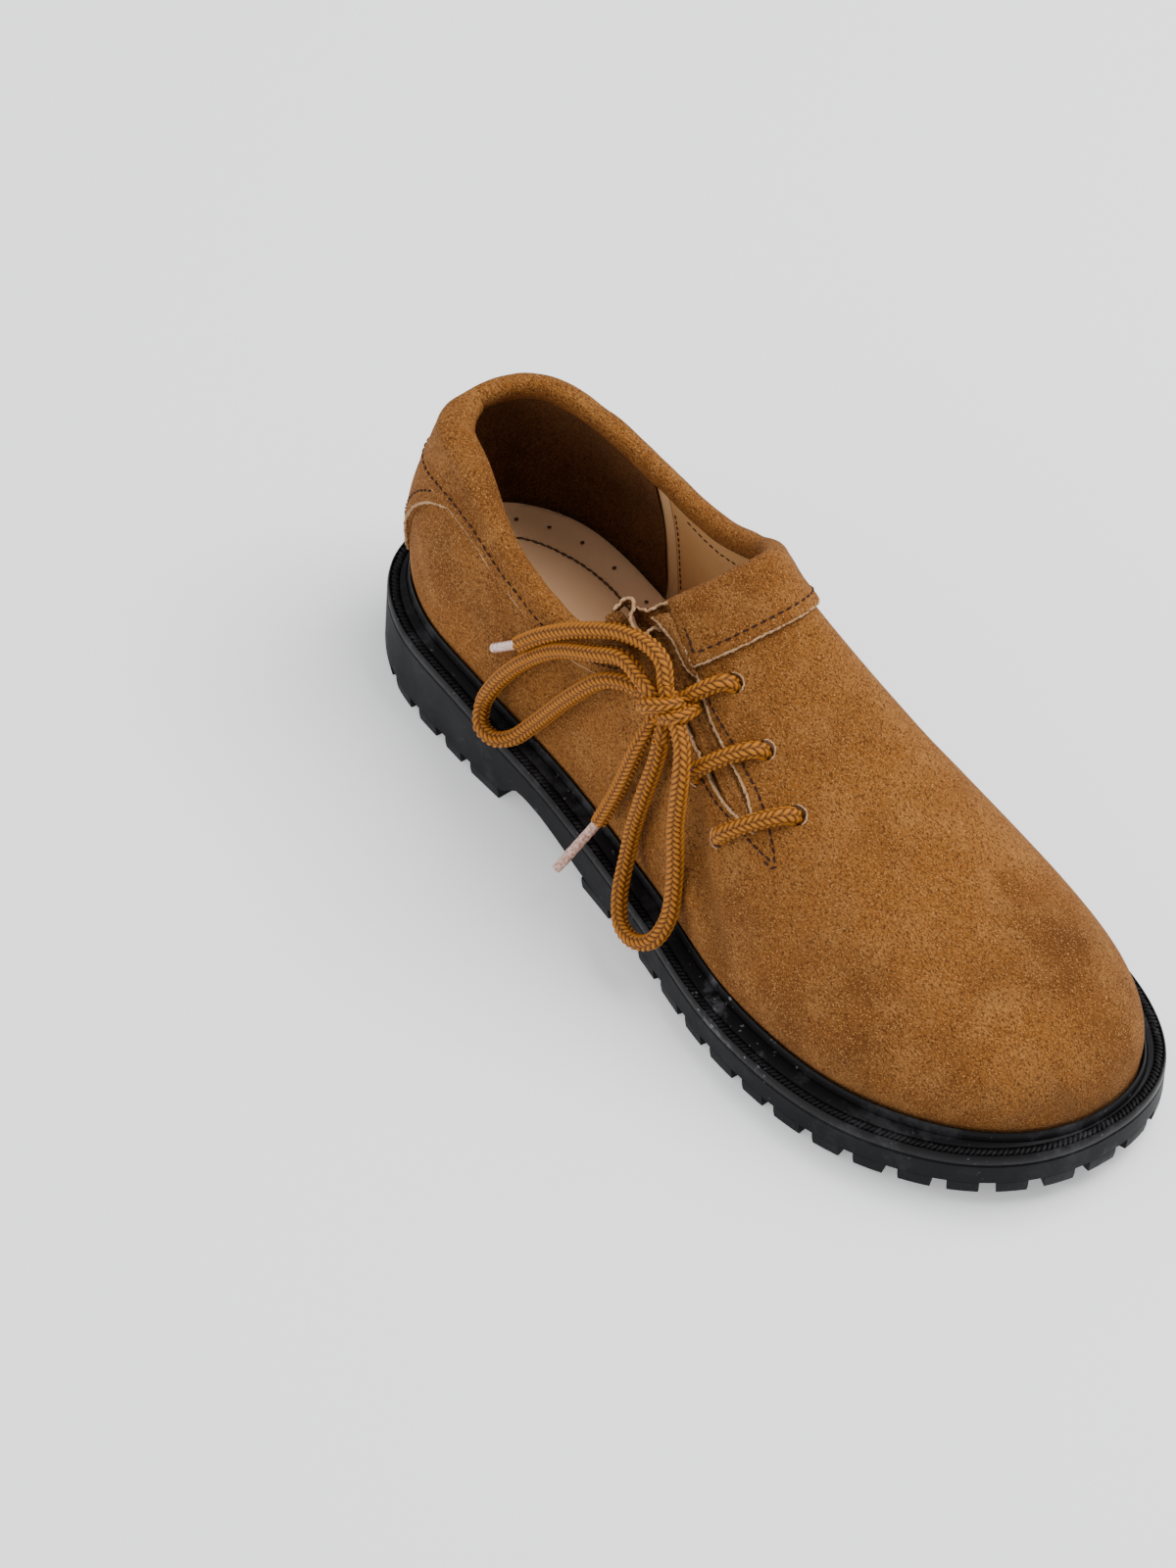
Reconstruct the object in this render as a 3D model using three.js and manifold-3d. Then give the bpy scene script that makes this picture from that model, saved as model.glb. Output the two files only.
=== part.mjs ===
// A low side-laced work shoe for the right foot, standing on its sole.
// Millimetres. X runs from heel to toe, Y from the outer side of the foot to the inner, Z up.
import * as THREE from 'three';
import { mergeVertices } from 'three/addons/utils/BufferGeometryUtils.js';
import Module from 'manifold-3d';

const wasm = await Module();
wasm.setup();

// Sole sizes
const SOLE_LENGTH = 286;
const BALL_WIDTH = 109.5;
const FOREFOOT_HEIGHT = 15;
const HEEL_HEIGHT = 26.5;
const TOE_SPRING = 7.2;
const ARCH_RISE = 6;
const HEEL_LENGTH = 78;
const WAIST_LENGTH = 40;
const BREAST_SLOPE = 9;
const TREAD_DEPTH = 4.5;
const LUG_PITCH = 13.5;
const LUG_REACH = 31;
const FRONT_GROOVE_LENGTH = 32.8;
const HEEL_GROOVE_LENGTH = 24.2;
const GROOVE_WIDTH = 4.2;
const SLOT_WIDTH = 1.7;
const CRESCENT_WIDTH = 29;
const CRESCENT_DEPTH = 13;
const CRESCENT_START = 8;
const CRESCENT_PITCH = 21.5;
const CRESCENT_HEIGHT = 3;
const WELT_THICKNESS = 3.5;
const WELT_EDGE = 5.4;
const LIP_HEIGHT = 3;
const LIP_INSET = 3.6;
const EDGE_BEVEL = 0.7;
const SIDE_DRAFT = 0.2;
const LUG_DRAFT = 1.4;
const WELT_DRAFT = 1.1;
const INSET_FADE = 2.2;

// Upper sizes
const UPPER_WALL = 2.4;
const CONE_HEIGHT = 115;
const OPENING_LENGTH = 125;
const HEEL_LEAN = 12;
const HEEL_BULGE = 3;
const LEAN_HEIGHT = 60;
const LEAN_LIMIT = 1.3;
const BULGE_LIMIT = 1.2;
const LEAN_REACH = 75;
const TUCK_SHARE = 0.06;
const TUCK_HEIGHT = 4;
const INSOLE_TOP = 7;
const COLLAR_DEPTH = 16;
const COLLAR_RADIUS = 4.2;
const COLLAR_SEAT = 6;
const SEAT_FORWARD = 0.7;
const SEAT_SPREAD = 1.15;
const BAND_THICKNESS = 1.5;
const STAY_THICKNESS = 1.2;
const GUSSET_THICKNESS = 1.2;
const EYELET_RADIUS = 3;
const WALL_SPREAD = 1.25;

// Lace sizes
const LACE_DIAMETER = 4.8;
const AGLET_DIAMETER = 3.6;
const KNOT_RADIUS = 7.2;
const KNOT_DEPTH = 0.62;
const KNOT_HEIGHT = 0.9;
const BAR_END = 0.97;
const BAR_ARCH = 0.12;
const TUBE_STEP = 2;

// Clearances
const GAP = 0.3;
const OVERLAY_GAP = 0.65;
const CUT_OVER = 3;

// Mesh resolution
const OPENING_STEPS = 16;
const FRONT_STEPS = 16;
const WALL_STEPS = 8;
const SOLE_STEPS = 26;
const LACE_SIDES = 8;
const OUTLINE_STEPS = 160;

// The plan at ten even turns from heel to toe: half widths as shares of the ball width,
// heel and spring as shares of the heel rise and the toe spring.
const PLAN = [
  { lateral: 0.0, medial: 0.0, heel: 1.0, spring: 0.0 },
  { lateral: 0.215, medial: 0.198, heel: 1.0, spring: 0.0 },
  { lateral: 0.335, medial: 0.318, heel: 1.0, spring: 0.0 },
  { lateral: 0.365, medial: 0.335, heel: 0.9, spring: 0.0 },
  { lateral: 0.368, medial: 0.303, heel: 0.55, spring: 0.0 },
  { lateral: 0.41, medial: 0.342, heel: 0.18, spring: 0.0 },
  { lateral: 0.477, medial: 0.452, heel: 0.0, spring: 0.0 },
  { lateral: 0.457, medial: 0.486, heel: 0.0, spring: 0.08 },
  { lateral: 0.342, medial: 0.426, heel: 0.0, spring: 0.42 },
  { lateral: 0.165, medial: 0.288, heel: 0.0, spring: 0.8 },
  { lateral: -0.065, medial: 0.065, heel: 0.0, spring: 1.0 },
];

// The sections at the same turns: height as a share of the cone height, ridge as a share of the
// ball width. The round columns shape each side of a section, and crown its top.
const SECTION = [
  { height: 1.0, ridge: 0.0, roundLateral: 1.2, roundMedial: 1.2, crown: 1.0 },
  { height: 1.0, ridge: 0.013, roundLateral: 2.3, roundMedial: 2.3, crown: 1.0 },
  { height: 0.99, ridge: 0.024, roundLateral: 3.3, roundMedial: 3.3, crown: 1.0 },
  { height: 0.948, ridge: 0.035, roundLateral: 2.6, roundMedial: 2.6, crown: 1.0 },
  { height: 0.878, ridge: 0.051, roundLateral: 1.35, roundMedial: 1.35, crown: 1.0 },
  { height: 0.713, ridge: 0.075, roundLateral: 0.98, roundMedial: 1.05, crown: 1.0 },
  { height: 0.487, ridge: 0.091, roundLateral: 0.86, roundMedial: 0.93, crown: 0.95 },
  { height: 0.33, ridge: 0.097, roundLateral: 0.79, roundMedial: 0.88, crown: 0.9 },
  { height: 0.243, ridge: 0.093, roundLateral: 0.74, roundMedial: 0.84, crown: 0.85 },
  { height: 0.143, ridge: 0.081, roundLateral: 0.71, roundMedial: 0.81, crown: 0.82 },
  { height: 0.0, ridge: 0.065, roundLateral: 0.69, roundMedial: 0.79, crown: 0.8 },
];

// The middle of the collar roll at eight even turns from heel to throat, as lift angles in degrees.
const COLLAR = [
  { lateral: 26.5, medial: 26.5 },
  { lateral: 28, medial: 28 },
  { lateral: 29.7, medial: 29.5 },
  { lateral: 30.6, medial: 30.6 },
  { lateral: 30.4, medial: 31.4 },
  { lateral: 33, medial: 35.2 },
  { lateral: 44.5, medial: 46.8 },
  { lateral: 65, medial: 67 },
  { lateral: 90, medial: 90 },
];
const COLLAR_TURNS = COLLAR.length - 1;
const LAST_TURNS = PLAN.length - 1;

// The two edges of the lacing slit from the collar down, as last stations and angles off the ridge.
const SLIT = [
  { vampAt: 4.4, vampAngle: -30, quarterAt: 4.12, quarterAngle: -43 },
  { vampAt: 4.62, vampAngle: -35.5, quarterAt: 4.5, quarterAngle: -47 },
  { vampAt: 4.84, vampAngle: -37.6, quarterAt: 4.8, quarterAngle: -47.5 },
  { vampAt: 5.06, vampAngle: -39.2, quarterAt: 5.06, quarterAngle: -47.2 },
  { vampAt: 5.26, vampAngle: -40, quarterAt: 5.3, quarterAngle: -47.4 },
  { vampAt: 5.48, vampAngle: -40.2, quarterAt: 5.48, quarterAngle: -46.6 },
  { vampAt: 5.7, vampAngle: -41.2, quarterAt: 5.68, quarterAngle: -45 },
  { vampAt: 5.95, vampAngle: -42.2, quarterAt: 5.94, quarterAngle: -42.8 },
];

// Eyelet pairs from the top down: last station and angle off the ridge on each side of the slit.
const EYELETS = [
  { vampAt: 5.06, vampAngle: -28.8, quarterAt: 4.82, quarterAngle: -48.5, from: 0.42 },
  { vampAt: 5.46, vampAngle: -28.8, quarterAt: 5.14, quarterAngle: -53.6, from: 0.02 },
  { vampAt: 5.86, vampAngle: -28.8, quarterAt: 5.52, quarterAngle: -54.8, from: 0.02 },
];

// The gusset under the slit from its foot up: middle station, angle, half width in shares of
// GUSSET_HALF and how far its top rises through the wall.
const GUSSET_HALF = 13;
const GUSSET = [
  { at: 6.15, angle: -42, half: 0.3, rise: 0 },
  { at: 5.8, angle: -42.5, half: 0.7, rise: 0 },
  { at: 5.4, angle: -43, half: 1.0, rise: 0 },
  { at: 5.0, angle: -42.5, half: 1.0, rise: 0 },
  { at: 4.68, angle: -41, half: 0.66, rise: 0 },
  { at: 4.46, angle: -39.5, half: 0.4, rise: 0.1 },
  { at: 4.3, angle: -37.5, half: 0.36, rise: 0.9 },
];

// How far round the heel the back stay reaches, from the collar band down to the welt:
// the height is a share of its top, the reach a last station.
const STAY = [
  { height: 1.0, reach: 2.1 },
  { height: 0.9, reach: 1.8 },
  { height: 0.75, reach: 1.52 },
  { height: 0.5, reach: 1.24 },
  { height: 0.28, reach: 1.06 },
  { height: 0.05, reach: 0.98 },
];

// Half a tread groove from the sole's edge inwards: depths as shares of its length, half widths
// as shares of the groove width.
const GROOVE = [
  { deep: -0.15, wide: 0.6 },
  { deep: 0.5, wide: 0.43 },
  { deep: 0.6, wide: 0.83 },
  { deep: 0.7, wide: 0.43 },
  { deep: 1, wide: 0.45 },
];

// The crescents under the ball from the waist on: shift as a share of the ball width, size as a
// share of the largest.
const CRESCENTS = [
  { shift: 0.01, size: 0.87 },
  { shift: 0.022, size: 0.96 },
  { shift: 0.034, size: 0.96 },
  { shift: 0.046, size: 0.87 },
  { shift: 0.058, size: 0.78 },
];

// The recess in the heel's tread, as shares of the heel length and of the ball width
const HEEL_RECESS = { middle: 0.62, halfLength: 0.3, halfWidth: 0.13 };

// Where the collar ring starts and ends, as turns of the collar table
const BAND_START = 6.6;
const BAND_END = 5.9;

// Lace routes, chosen by eye, from the knot
const KNOT_AT = [134, -32.6, 81.2];
const HEEL_LOOP = [
  [125.9, -31.6, 81.8], [119.6, -32.8, 79.8], [113.2, -34.4, 75.6], [102.7, -36.6, 61.2], [89.6, -38.2, 39.6],
  [83.6, -40.6, 30.6], [78.4, -42.6, 27.2], [72.8, -42.6, 27.4], [69.6, -39.8, 31.4], [71.4, -38.6, 38.6],
  [79.8, -36.6, 54.2], [94, -35.2, 71.6], [109, -33.8, 82.4], [118.6, -32, 87.4], [127, -32.4, 86.6],
];
const TOE_LOOP = [
  [142.2, -32, 82], [148, -34.8, 79.6], [151.6, -37.6, 74.6], [153.6, -39.8, 66.4], [154.6, -41, 57.6],
  [159.2, -44, 42.2], [161.6, -47.6, 30], [160, -51.2, 22.4], [154.4, -52.8, 18.2], [147.4, -51.8, 17.8],
  [141.4, -47.8, 21.8], [137.4, -42.6, 30.6], [137, -40.4, 42], [138.2, -38.8, 53.6], [139, -35.6, 67.6],
  [138.6, -34.2, 73.6],
];
const HEEL_END = [
  [133.8, -29.6, 88.8], [130.4, -28, 93.2], [125.2, -27.6, 94.6], [114.6, -28.8, 92.2], [101.3, -32.4, 84.4],
  [88.6, -35.6, 73.4], [80.8, -37.4, 64.2],
];
const TOE_END = [
  [133.2, -33.6, 74.4], [132.2, -35.8, 68.6], [131.2, -37.2, 62.6], [129.2, -39, 51.8], [126, -40.6, 40],
  [123.6, -41.4, 32.6],
];
const HEEL_AGLET_TIP = [68.4, -35.9, 51];
const TOE_AGLET_TIP = [117.6, -49.4, 17.2];

// Interpolation
const columns = new Map();

function column(table, name) {
  if (!columns.has(table)) columns.set(table, {});
  const known = columns.get(table);
  if (!known[name]) known[name] = table.map((row) => row[name]);
  return known[name];
}

function along(table, name, place) {
  const values = column(table, name);
  const top = values.length - 1;
  const spot = Math.min(Math.max(place, 0), top);
  const row = Math.min(Math.floor(spot), top - 1);
  const t = spot - row;
  const b = values[row];
  const c = values[row + 1];
  const a = row > 0 ? values[row - 1] : 2 * b - c;
  const d = row + 2 <= top ? values[row + 2] : 2 * c - b;
  const bend = 2 * a - 5 * b + 4 * c - d;
  const twist = 3 * b - a - 3 * c + d;
  return 0.5 * (2 * b + (c - a) * t + bend * t * t + twist * t * t * t);
}

const clamp = THREE.MathUtils.clamp;
const smooth = (value) => THREE.MathUtils.smoothstep(value, 0, 1);
const sideName = (side) => (side < 0 ? 'lateral' : 'medial');

// Stations: x as a share of a length, from even turns of a half circle
const shareOf = (at) => (1 - Math.cos((at * Math.PI) / LAST_TURNS)) / 2;
const stationOf = (share) => (Math.acos(clamp(1 - 2 * share, -1, 1)) / Math.PI) * LAST_TURNS;

// Sole profile
function weltTop(at) {
  const heel = (HEEL_HEIGHT - FOREFOOT_HEIGHT) * along(PLAN, 'heel', at);
  return FOREFOOT_HEIGHT + heel + TOE_SPRING * along(PLAN, 'spring', at);
}

function archLift(x) {
  const up = smooth((x - HEEL_LENGTH) / BREAST_SLOPE);
  const down = smooth((x - HEEL_LENGTH - BREAST_SLOPE) / WAIST_LENGTH);
  return ARCH_RISE * up * (1 - down);
}

function ground(at) {
  return TOE_SPRING * Math.max(0, along(PLAN, 'spring', at));
}

// A point of the plan outline, moved in by inset
function outline(at, side, inset) {
  const share = shareOf(at);
  const turn = Math.tanh(INSET_FADE * Math.sin((at * Math.PI) / LAST_TURNS)) / Math.tanh(INSET_FADE);
  const x = inset + (SOLE_LENGTH - 2 * inset) * share;
  const y = side * (BALL_WIDTH * along(PLAN, sideName(side), at) - inset * turn);
  return new THREE.Vector2(x, y);
}

// A point of the upper. The angle runs from -90 at the outer feather line over 0 at the ridge
// to 90 at the inner one, and out is the distance off the outer face.
function upperPoint(at, angle, out = 0) {
  const side = angle < 0 ? -1 : 1;
  const lift = THREE.MathUtils.degToRad(90 - Math.min(Math.abs(angle), 90));
  const foot = outline(at, side, WELT_EDGE - out);
  const ridge = BALL_WIDTH * along(SECTION, 'ridge', at);
  const height = Math.max(0, CONE_HEIGHT * along(SECTION, 'height', at) + out);
  const rise = height * Math.pow(Math.sin(lift), along(SECTION, 'crown', at));
  const round = along(SECTION, side < 0 ? 'roundLateral' : 'roundMedial', at);
  const tuck = 1 - TUCK_SHARE * Math.exp(-rise / TUCK_HEIGHT);
  const width = Math.abs(foot.y - ridge) * Math.pow(Math.max(Math.cos(lift), 0), round) * tuck;
  const level = rise / LEAN_HEIGHT;
  const bulge = HEEL_BULGE * Math.sin(Math.PI * Math.min(level, BULGE_LIMIT));
  const lean = HEEL_LEAN * Math.pow(Math.min(level, LEAN_LIMIT), 2);
  const reach = Math.pow(clamp(1 - foot.x / LEAN_REACH, 0, 1), 2);
  const x = foot.x + (lean - bulge) * reach;
  return new THREE.Vector3(x, ridge + side * width, weltTop(at) + LIP_HEIGHT + rise);
}

function surfaceSlopes(at, angle, out) {
  const ahead = 0.02;
  const back = Math.min(at, ahead);
  const tilt = 1.2;
  const alongX = upperPoint(at + ahead, angle, out).sub(upperPoint(at - back, angle, out));
  const across = upperPoint(at, angle + tilt, out).sub(upperPoint(at, angle - tilt, out));
  alongX.divideScalar(ahead + back);
  across.divideScalar(2 * tilt);
  return { alongX, across };
}

function upperNormal(at, angle) {
  const { alongX, across } = surfaceSlopes(at, angle, 0);
  return alongX.cross(across).normalize();
}

// Walk over the outer face from a point, keeping square to a fixed side direction
function walk(at, angle, direction, length, steps = 8) {
  let u = at;
  let v = angle;
  for (let i = 0; i < steps; i += 1) {
    const { alongX, across } = surfaceSlopes(u, v, 0);
    const goal = direction.clone().multiplyScalar(length / steps);
    const a = alongX.dot(alongX);
    const b = alongX.dot(across);
    const c = across.dot(across);
    const p = alongX.dot(goal);
    const q = across.dot(goal);
    const det = a * c - b * b;
    u += (c * p - b * q) / det;
    v += (a * q - b * p) / det;
  }
  return { at: u, angle: v };
}

// Closed meshes
function solid(quads) {
  const positions = [];
  const push = (a, b, c) => {
    const area = new THREE.Triangle(a, b, c).getArea();
    if (area > 1e-5) positions.push(a.x, a.y, a.z, b.x, b.y, b.z, c.x, c.y, c.z);
  };
  for (const [a, b, c, d] of quads) {
    push(a, b, c);
    if (d) push(a, c, d);
  }
  const raw = new THREE.BufferGeometry();
  raw.setAttribute('position', new THREE.Float32BufferAttribute(positions, 3));
  return outward(mergeVertices(raw, 1e-3));
}

// Drop the triangles that merging has closed up, and turn all faces out
function outward(geometry) {
  const index = geometry.index.array;
  const position = geometry.attributes.position;
  const corner = (i) => new THREE.Vector3().fromBufferAttribute(position, i);
  const kept = [];
  let volume = 0;
  for (let i = 0; i < index.length; i += 3) {
    const [a, b, c] = [index[i], index[i + 1], index[i + 2]];
    if (a !== b && b !== c && c !== a) {
      kept.push(a, b, c);
      volume += corner(a).dot(corner(b).cross(corner(c)));
    }
  }
  if (volume < 0) kept.reverse();
  geometry.setIndex(kept);
  return geometry;
}

function bare(geometry) {
  geometry.deleteAttribute('normal');
  geometry.deleteAttribute('uv');
  return mergeVertices(geometry, 1e-3);
}

function toManifold(geometry) {
  const vertProperties = new Float32Array(geometry.attributes.position.array);
  const triVerts = new Uint32Array(geometry.index.array);
  return new wasm.Manifold(new wasm.Mesh({ numProp: 3, vertProperties, triVerts }));
}

function fromManifold(body) {
  const mesh = body.getMesh();
  const geometry = new THREE.BufferGeometry();
  geometry.setAttribute('position', new THREE.BufferAttribute(new Float32Array(mesh.vertProperties), 3));
  geometry.setIndex(new THREE.BufferAttribute(new Uint32Array(mesh.triVerts), 1));
  return geometry;
}

// The ring of stations round the shoe: outer side heel to toe, then inner side back to the heel
function ringOf(stations) {
  const outer = stations.map((at) => ({ at, side: -1 }));
  const inner = stations.slice(1, -1).reverse().map((at) => ({ at, side: 1 }));
  return outer.concat(inner);
}

function even(count, from, to) {
  return Array.from({ length: count + 1 }, (_, i) => from + ((to - from) * i) / count);
}

function soleStations() {
  const stations = even(SOLE_STEPS, 0, LAST_TURNS);
  const breast = even(4, HEEL_LENGTH, HEEL_LENGTH + BREAST_SLOPE);
  stations.push(...breast.map((x) => stationOf(x / SOLE_LENGTH)));
  return stations.sort((a, b) => a - b).filter((at, i, all) => i === 0 || at - all[i - 1] > 0.03);
}

// Stack closed loops from a bottom cap, out and up, to a top cap
function stack(loops) {
  const quads = [];
  const count = loops[0].length;
  for (let row = 0; row + 1 < loops.length; row += 1) {
    for (let i = 0; i < count; i += 1) {
      const j = (i + 1) % count;
      quads.push([loops[row][i], loops[row][j], loops[row + 1][j], loops[row + 1][i]]);
    }
  }
  const bottom = loops[0];
  const top = loops[loops.length - 1];
  for (let i = 0; i < count / 2; i += 1) {
    const far = (count - i) % count;
    const near = count - i - 1;
    quads.push([top[i], top[i + 1], top[near], top[far]]);
    quads.push([bottom[far], bottom[near], bottom[i + 1], bottom[i]]);
  }
  return solid(quads);
}

function planLoop(ring, inset, height) {
  return ring.map(({ at, side }) => {
    const spot = outline(at, side, inset);
    return new THREE.Vector3(spot.x, spot.y, height(at, spot.x));
  });
}

// Upright cutters
function uprightPrism(points, low, high) {
  const shape = new THREE.Shape(points);
  const geometry = new THREE.ExtrudeGeometry(shape, { depth: high - low, bevelEnabled: false, steps: 1 });
  geometry.translate(0, 0, low);
  return outward(bare(geometry));
}

function throughCutter(points) {
  return toManifold(uprightPrism(points, -CUT_OVER, HEEL_HEIGHT));
}

function ovalPoints(x, y, halfLength, halfWidth, sides) {
  return even(sides, 0, 2 * Math.PI)
    .slice(0, -1)
    .map((turn) => new THREE.Vector2(x + halfLength * Math.cos(turn), y + halfWidth * Math.sin(turn)));
}

// A point of the outline by turn: over zero along the outer side to the toe and back along the
// inner side, under zero on the inner side of the heel
function outlineTurn(turn) {
  if (turn < 0) return outline(-turn, 1, 0);
  return turn <= LAST_TURNS ? outline(turn, -1, 0) : outline(2 * LAST_TURNS - turn, 1, 0);
}

// Evenly spread grooves along a stretch of the outline, each with its inward direction
function grooveSpots(from, to) {
  const fine = even(OUTLINE_STEPS, from, to).map(outlineTurn);
  const lengths = [0];
  for (let i = 1; i < fine.length; i += 1) lengths.push(lengths[i - 1] + fine[i].distanceTo(fine[i - 1]));
  const total = lengths[lengths.length - 1];
  return even(Math.round(total / LUG_PITCH), 0, total).map((goal) => {
    const reached = lengths.findIndex((value) => value >= goal - GAP);
    const i = clamp(reached, 2, fine.length - 3);
    const run = fine[i + 2].clone().sub(fine[i - 2]).normalize();
    return { spot: fine[i], inward: new THREE.Vector2(-run.y, run.x) };
  });
}

function grooveCutter({ spot, inward }, length) {
  const near = GROOVE.map(({ deep, wide }) => [deep * length, wide * GROOVE_WIDTH]);
  const far = near.map(([deep, wide]) => [deep, -wide]).reverse();
  const cross = new THREE.Vector2(-inward.y, inward.x);
  const points = near.concat(far).map(([deep, wide]) => {
    return spot.clone().addScaledVector(inward, deep).addScaledVector(cross, wide);
  });
  return throughCutter(points);
}

// A raised crescent, round toward the toe and hollow toward the heel, split by two slanted slots
function crescent(x, y, size, low, high) {
  const half = (CRESCENT_WIDTH * size) / 2;
  const depth = CRESCENT_DEPTH;
  const round = even(10, -Math.PI / 2, Math.PI / 2).map((turn) => {
    return new THREE.Vector2(x + depth * Math.cos(turn), y + half * Math.sin(turn));
  });
  const hollow = even(6, 1, -1).map((t) => {
    return new THREE.Vector2(x + depth * 0.22 * (1 - t * t), y + half * 0.72 * t);
  });
  let body = toManifold(uprightPrism(round.concat(hollow), low, high));
  for (const side of [-1, 1]) {
    const slot = new THREE.BoxGeometry(depth * 2, SLOT_WIDTH, 4 * TREAD_DEPTH);
    slot.rotateZ(side * 0.55);
    slot.translate(x + depth / 2, y + side * half * 0.42, high);
    body = body.subtract(toManifold(outward(bare(slot))));
  }
  return body;
}

// Sole
function makeTread(ring, waistEnd) {
  const toeSide = SOLE_LENGTH - LUG_REACH;
  const ballMiddle = (waistEnd + toeSide) / 2 + CUT_OVER;
  const ballHalf = (toeSide - waistEnd) / 2 - CUT_OVER;
  const ballWidth = BALL_WIDTH / 2 - LUG_REACH;
  const waist = [
    new THREE.Vector2(HEEL_LENGTH, -BALL_WIDTH),
    new THREE.Vector2(waistEnd, -BALL_WIDTH),
    new THREE.Vector2(waistEnd, BALL_WIDTH),
    new THREE.Vector2(HEEL_LENGTH, BALL_WIDTH),
  ];
  const heelMiddle = HEEL_LENGTH * HEEL_RECESS.middle;
  const heelHalf = HEEL_LENGTH * HEEL_RECESS.halfLength;
  const heelWidth = BALL_WIDTH * HEEL_RECESS.halfWidth;
  const cutters = [
    throughCutter(waist),
    throughCutter(ovalPoints(ballMiddle, BALL_WIDTH * CRESCENTS[2].shift, ballHalf, ballWidth, 24)),
    throughCutter(ovalPoints(heelMiddle, 0, heelHalf, heelWidth, 16)),
  ];
  const frontStart = stationOf((waistEnd + LUG_PITCH) / SOLE_LENGTH);
  const heelStart = stationOf((HEEL_LENGTH - LUG_PITCH) / SOLE_LENGTH);
  for (const spot of grooveSpots(frontStart, 2 * LAST_TURNS - frontStart)) {
    cutters.push(grooveCutter(spot, FRONT_GROOVE_LENGTH));
  }
  for (const spot of grooveSpots(-heelStart, heelStart)) cutters.push(grooveCutter(spot, HEEL_GROOVE_LENGTH));
  const lugs = stack([
    planLoop(ring, LUG_DRAFT, ground),
    planLoop(ring, LUG_DRAFT * 0.2, (at) => ground(at) + TREAD_DEPTH / 2),
    planLoop(ring, SIDE_DRAFT, (at) => ground(at) + TREAD_DEPTH + EDGE_BEVEL),
  ]);
  return cutters.reduce((tread, cutter) => tread.subtract(cutter), toManifold(lugs));
}

function makeOutsole() {
  const ring = ringOf(soleStations());
  const waistEnd = HEEL_LENGTH + WAIST_LENGTH;
  const top = (at) => weltTop(at) - WELT_THICKNESS - GAP;
  const floor = (at, x) => ground(at) + TREAD_DEPTH + archLift(x);
  const body = stack([
    planLoop(ring, EDGE_BEVEL, floor),
    planLoop(ring, SIDE_DRAFT, (at, x) => floor(at, x) + 2 * EDGE_BEVEL),
    planLoop(ring, 0, (at) => top(at) - EDGE_BEVEL),
    planLoop(ring, EDGE_BEVEL, top),
  ]);
  let sole = toManifold(body).add(makeTread(ring, waistEnd));
  CRESCENTS.forEach(({ shift, size }, i) => {
    const x = waistEnd + CRESCENT_START + i * CRESCENT_PITCH;
    const high = ground(stationOf(x / SOLE_LENGTH)) + TREAD_DEPTH;
    sole = sole.add(crescent(x, BALL_WIDTH * shift, size, high - CRESCENT_HEIGHT, high + EDGE_BEVEL));
  });
  return fromManifold(sole);
}

function makeWelt() {
  const ring = ringOf(soleStations());
  const lipInner = (height) => ring.map(({ at, side }) => {
    const foot = upperPoint(at, side * 90, OVERLAY_GAP);
    return foot.setZ(weltTop(at) + height);
  });
  return stack([
    planLoop(ring, WELT_DRAFT, (at) => weltTop(at) - WELT_THICKNESS),
    planLoop(ring, WELT_DRAFT / 2, (at) => weltTop(at) - WELT_THICKNESS / 2),
    planLoop(ring, WELT_DRAFT, weltTop),
    planLoop(ring, LIP_INSET, weltTop),
    planLoop(ring, LIP_INSET + SIDE_DRAFT, (at) => weltTop(at) + LIP_HEIGHT * 0.75),
    planLoop(ring, LIP_INSET + WELT_DRAFT, (at) => weltTop(at) + LIP_HEIGHT),
    lipInner(LIP_HEIGHT - GAP),
    lipInner(0),
  ]);
}

function makeInsole() {
  const ring = ringOf(soleStations());
  const shrink = -UPPER_WALL - 2 * OVERLAY_GAP;
  const lower = ring.map(({ at, side }) => upperPoint(at, side * 90, shrink).setZ(weltTop(at) + GAP));
  const upper = ring.map(({ at, side }) => upperPoint(at, side * 90, shrink).setZ(weltTop(at) + INSOLE_TOP));
  return stack([lower, upper]);
}

// Upper: the collar line and the cut edge of the wall under the roll
function collarSpot(turn, side, seat = 0) {
  const length = OPENING_LENGTH + seat * SEAT_FORWARD;
  const x = (length * (1 - Math.cos((turn * Math.PI) / COLLAR_TURNS))) / 2;
  const at = stationOf(x / (SOLE_LENGTH - 2 * WELT_EDGE));
  const lift = along(COLLAR, sideName(side), turn);
  const cone = CONE_HEIGHT * along(SECTION, 'height', at);
  const drop = THREE.MathUtils.radToDeg(seat / cone) * SEAT_SPREAD * (1 - Math.pow(lift / 90, 3));
  return { at, angle: side * (90 - lift + drop) };
}

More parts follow.
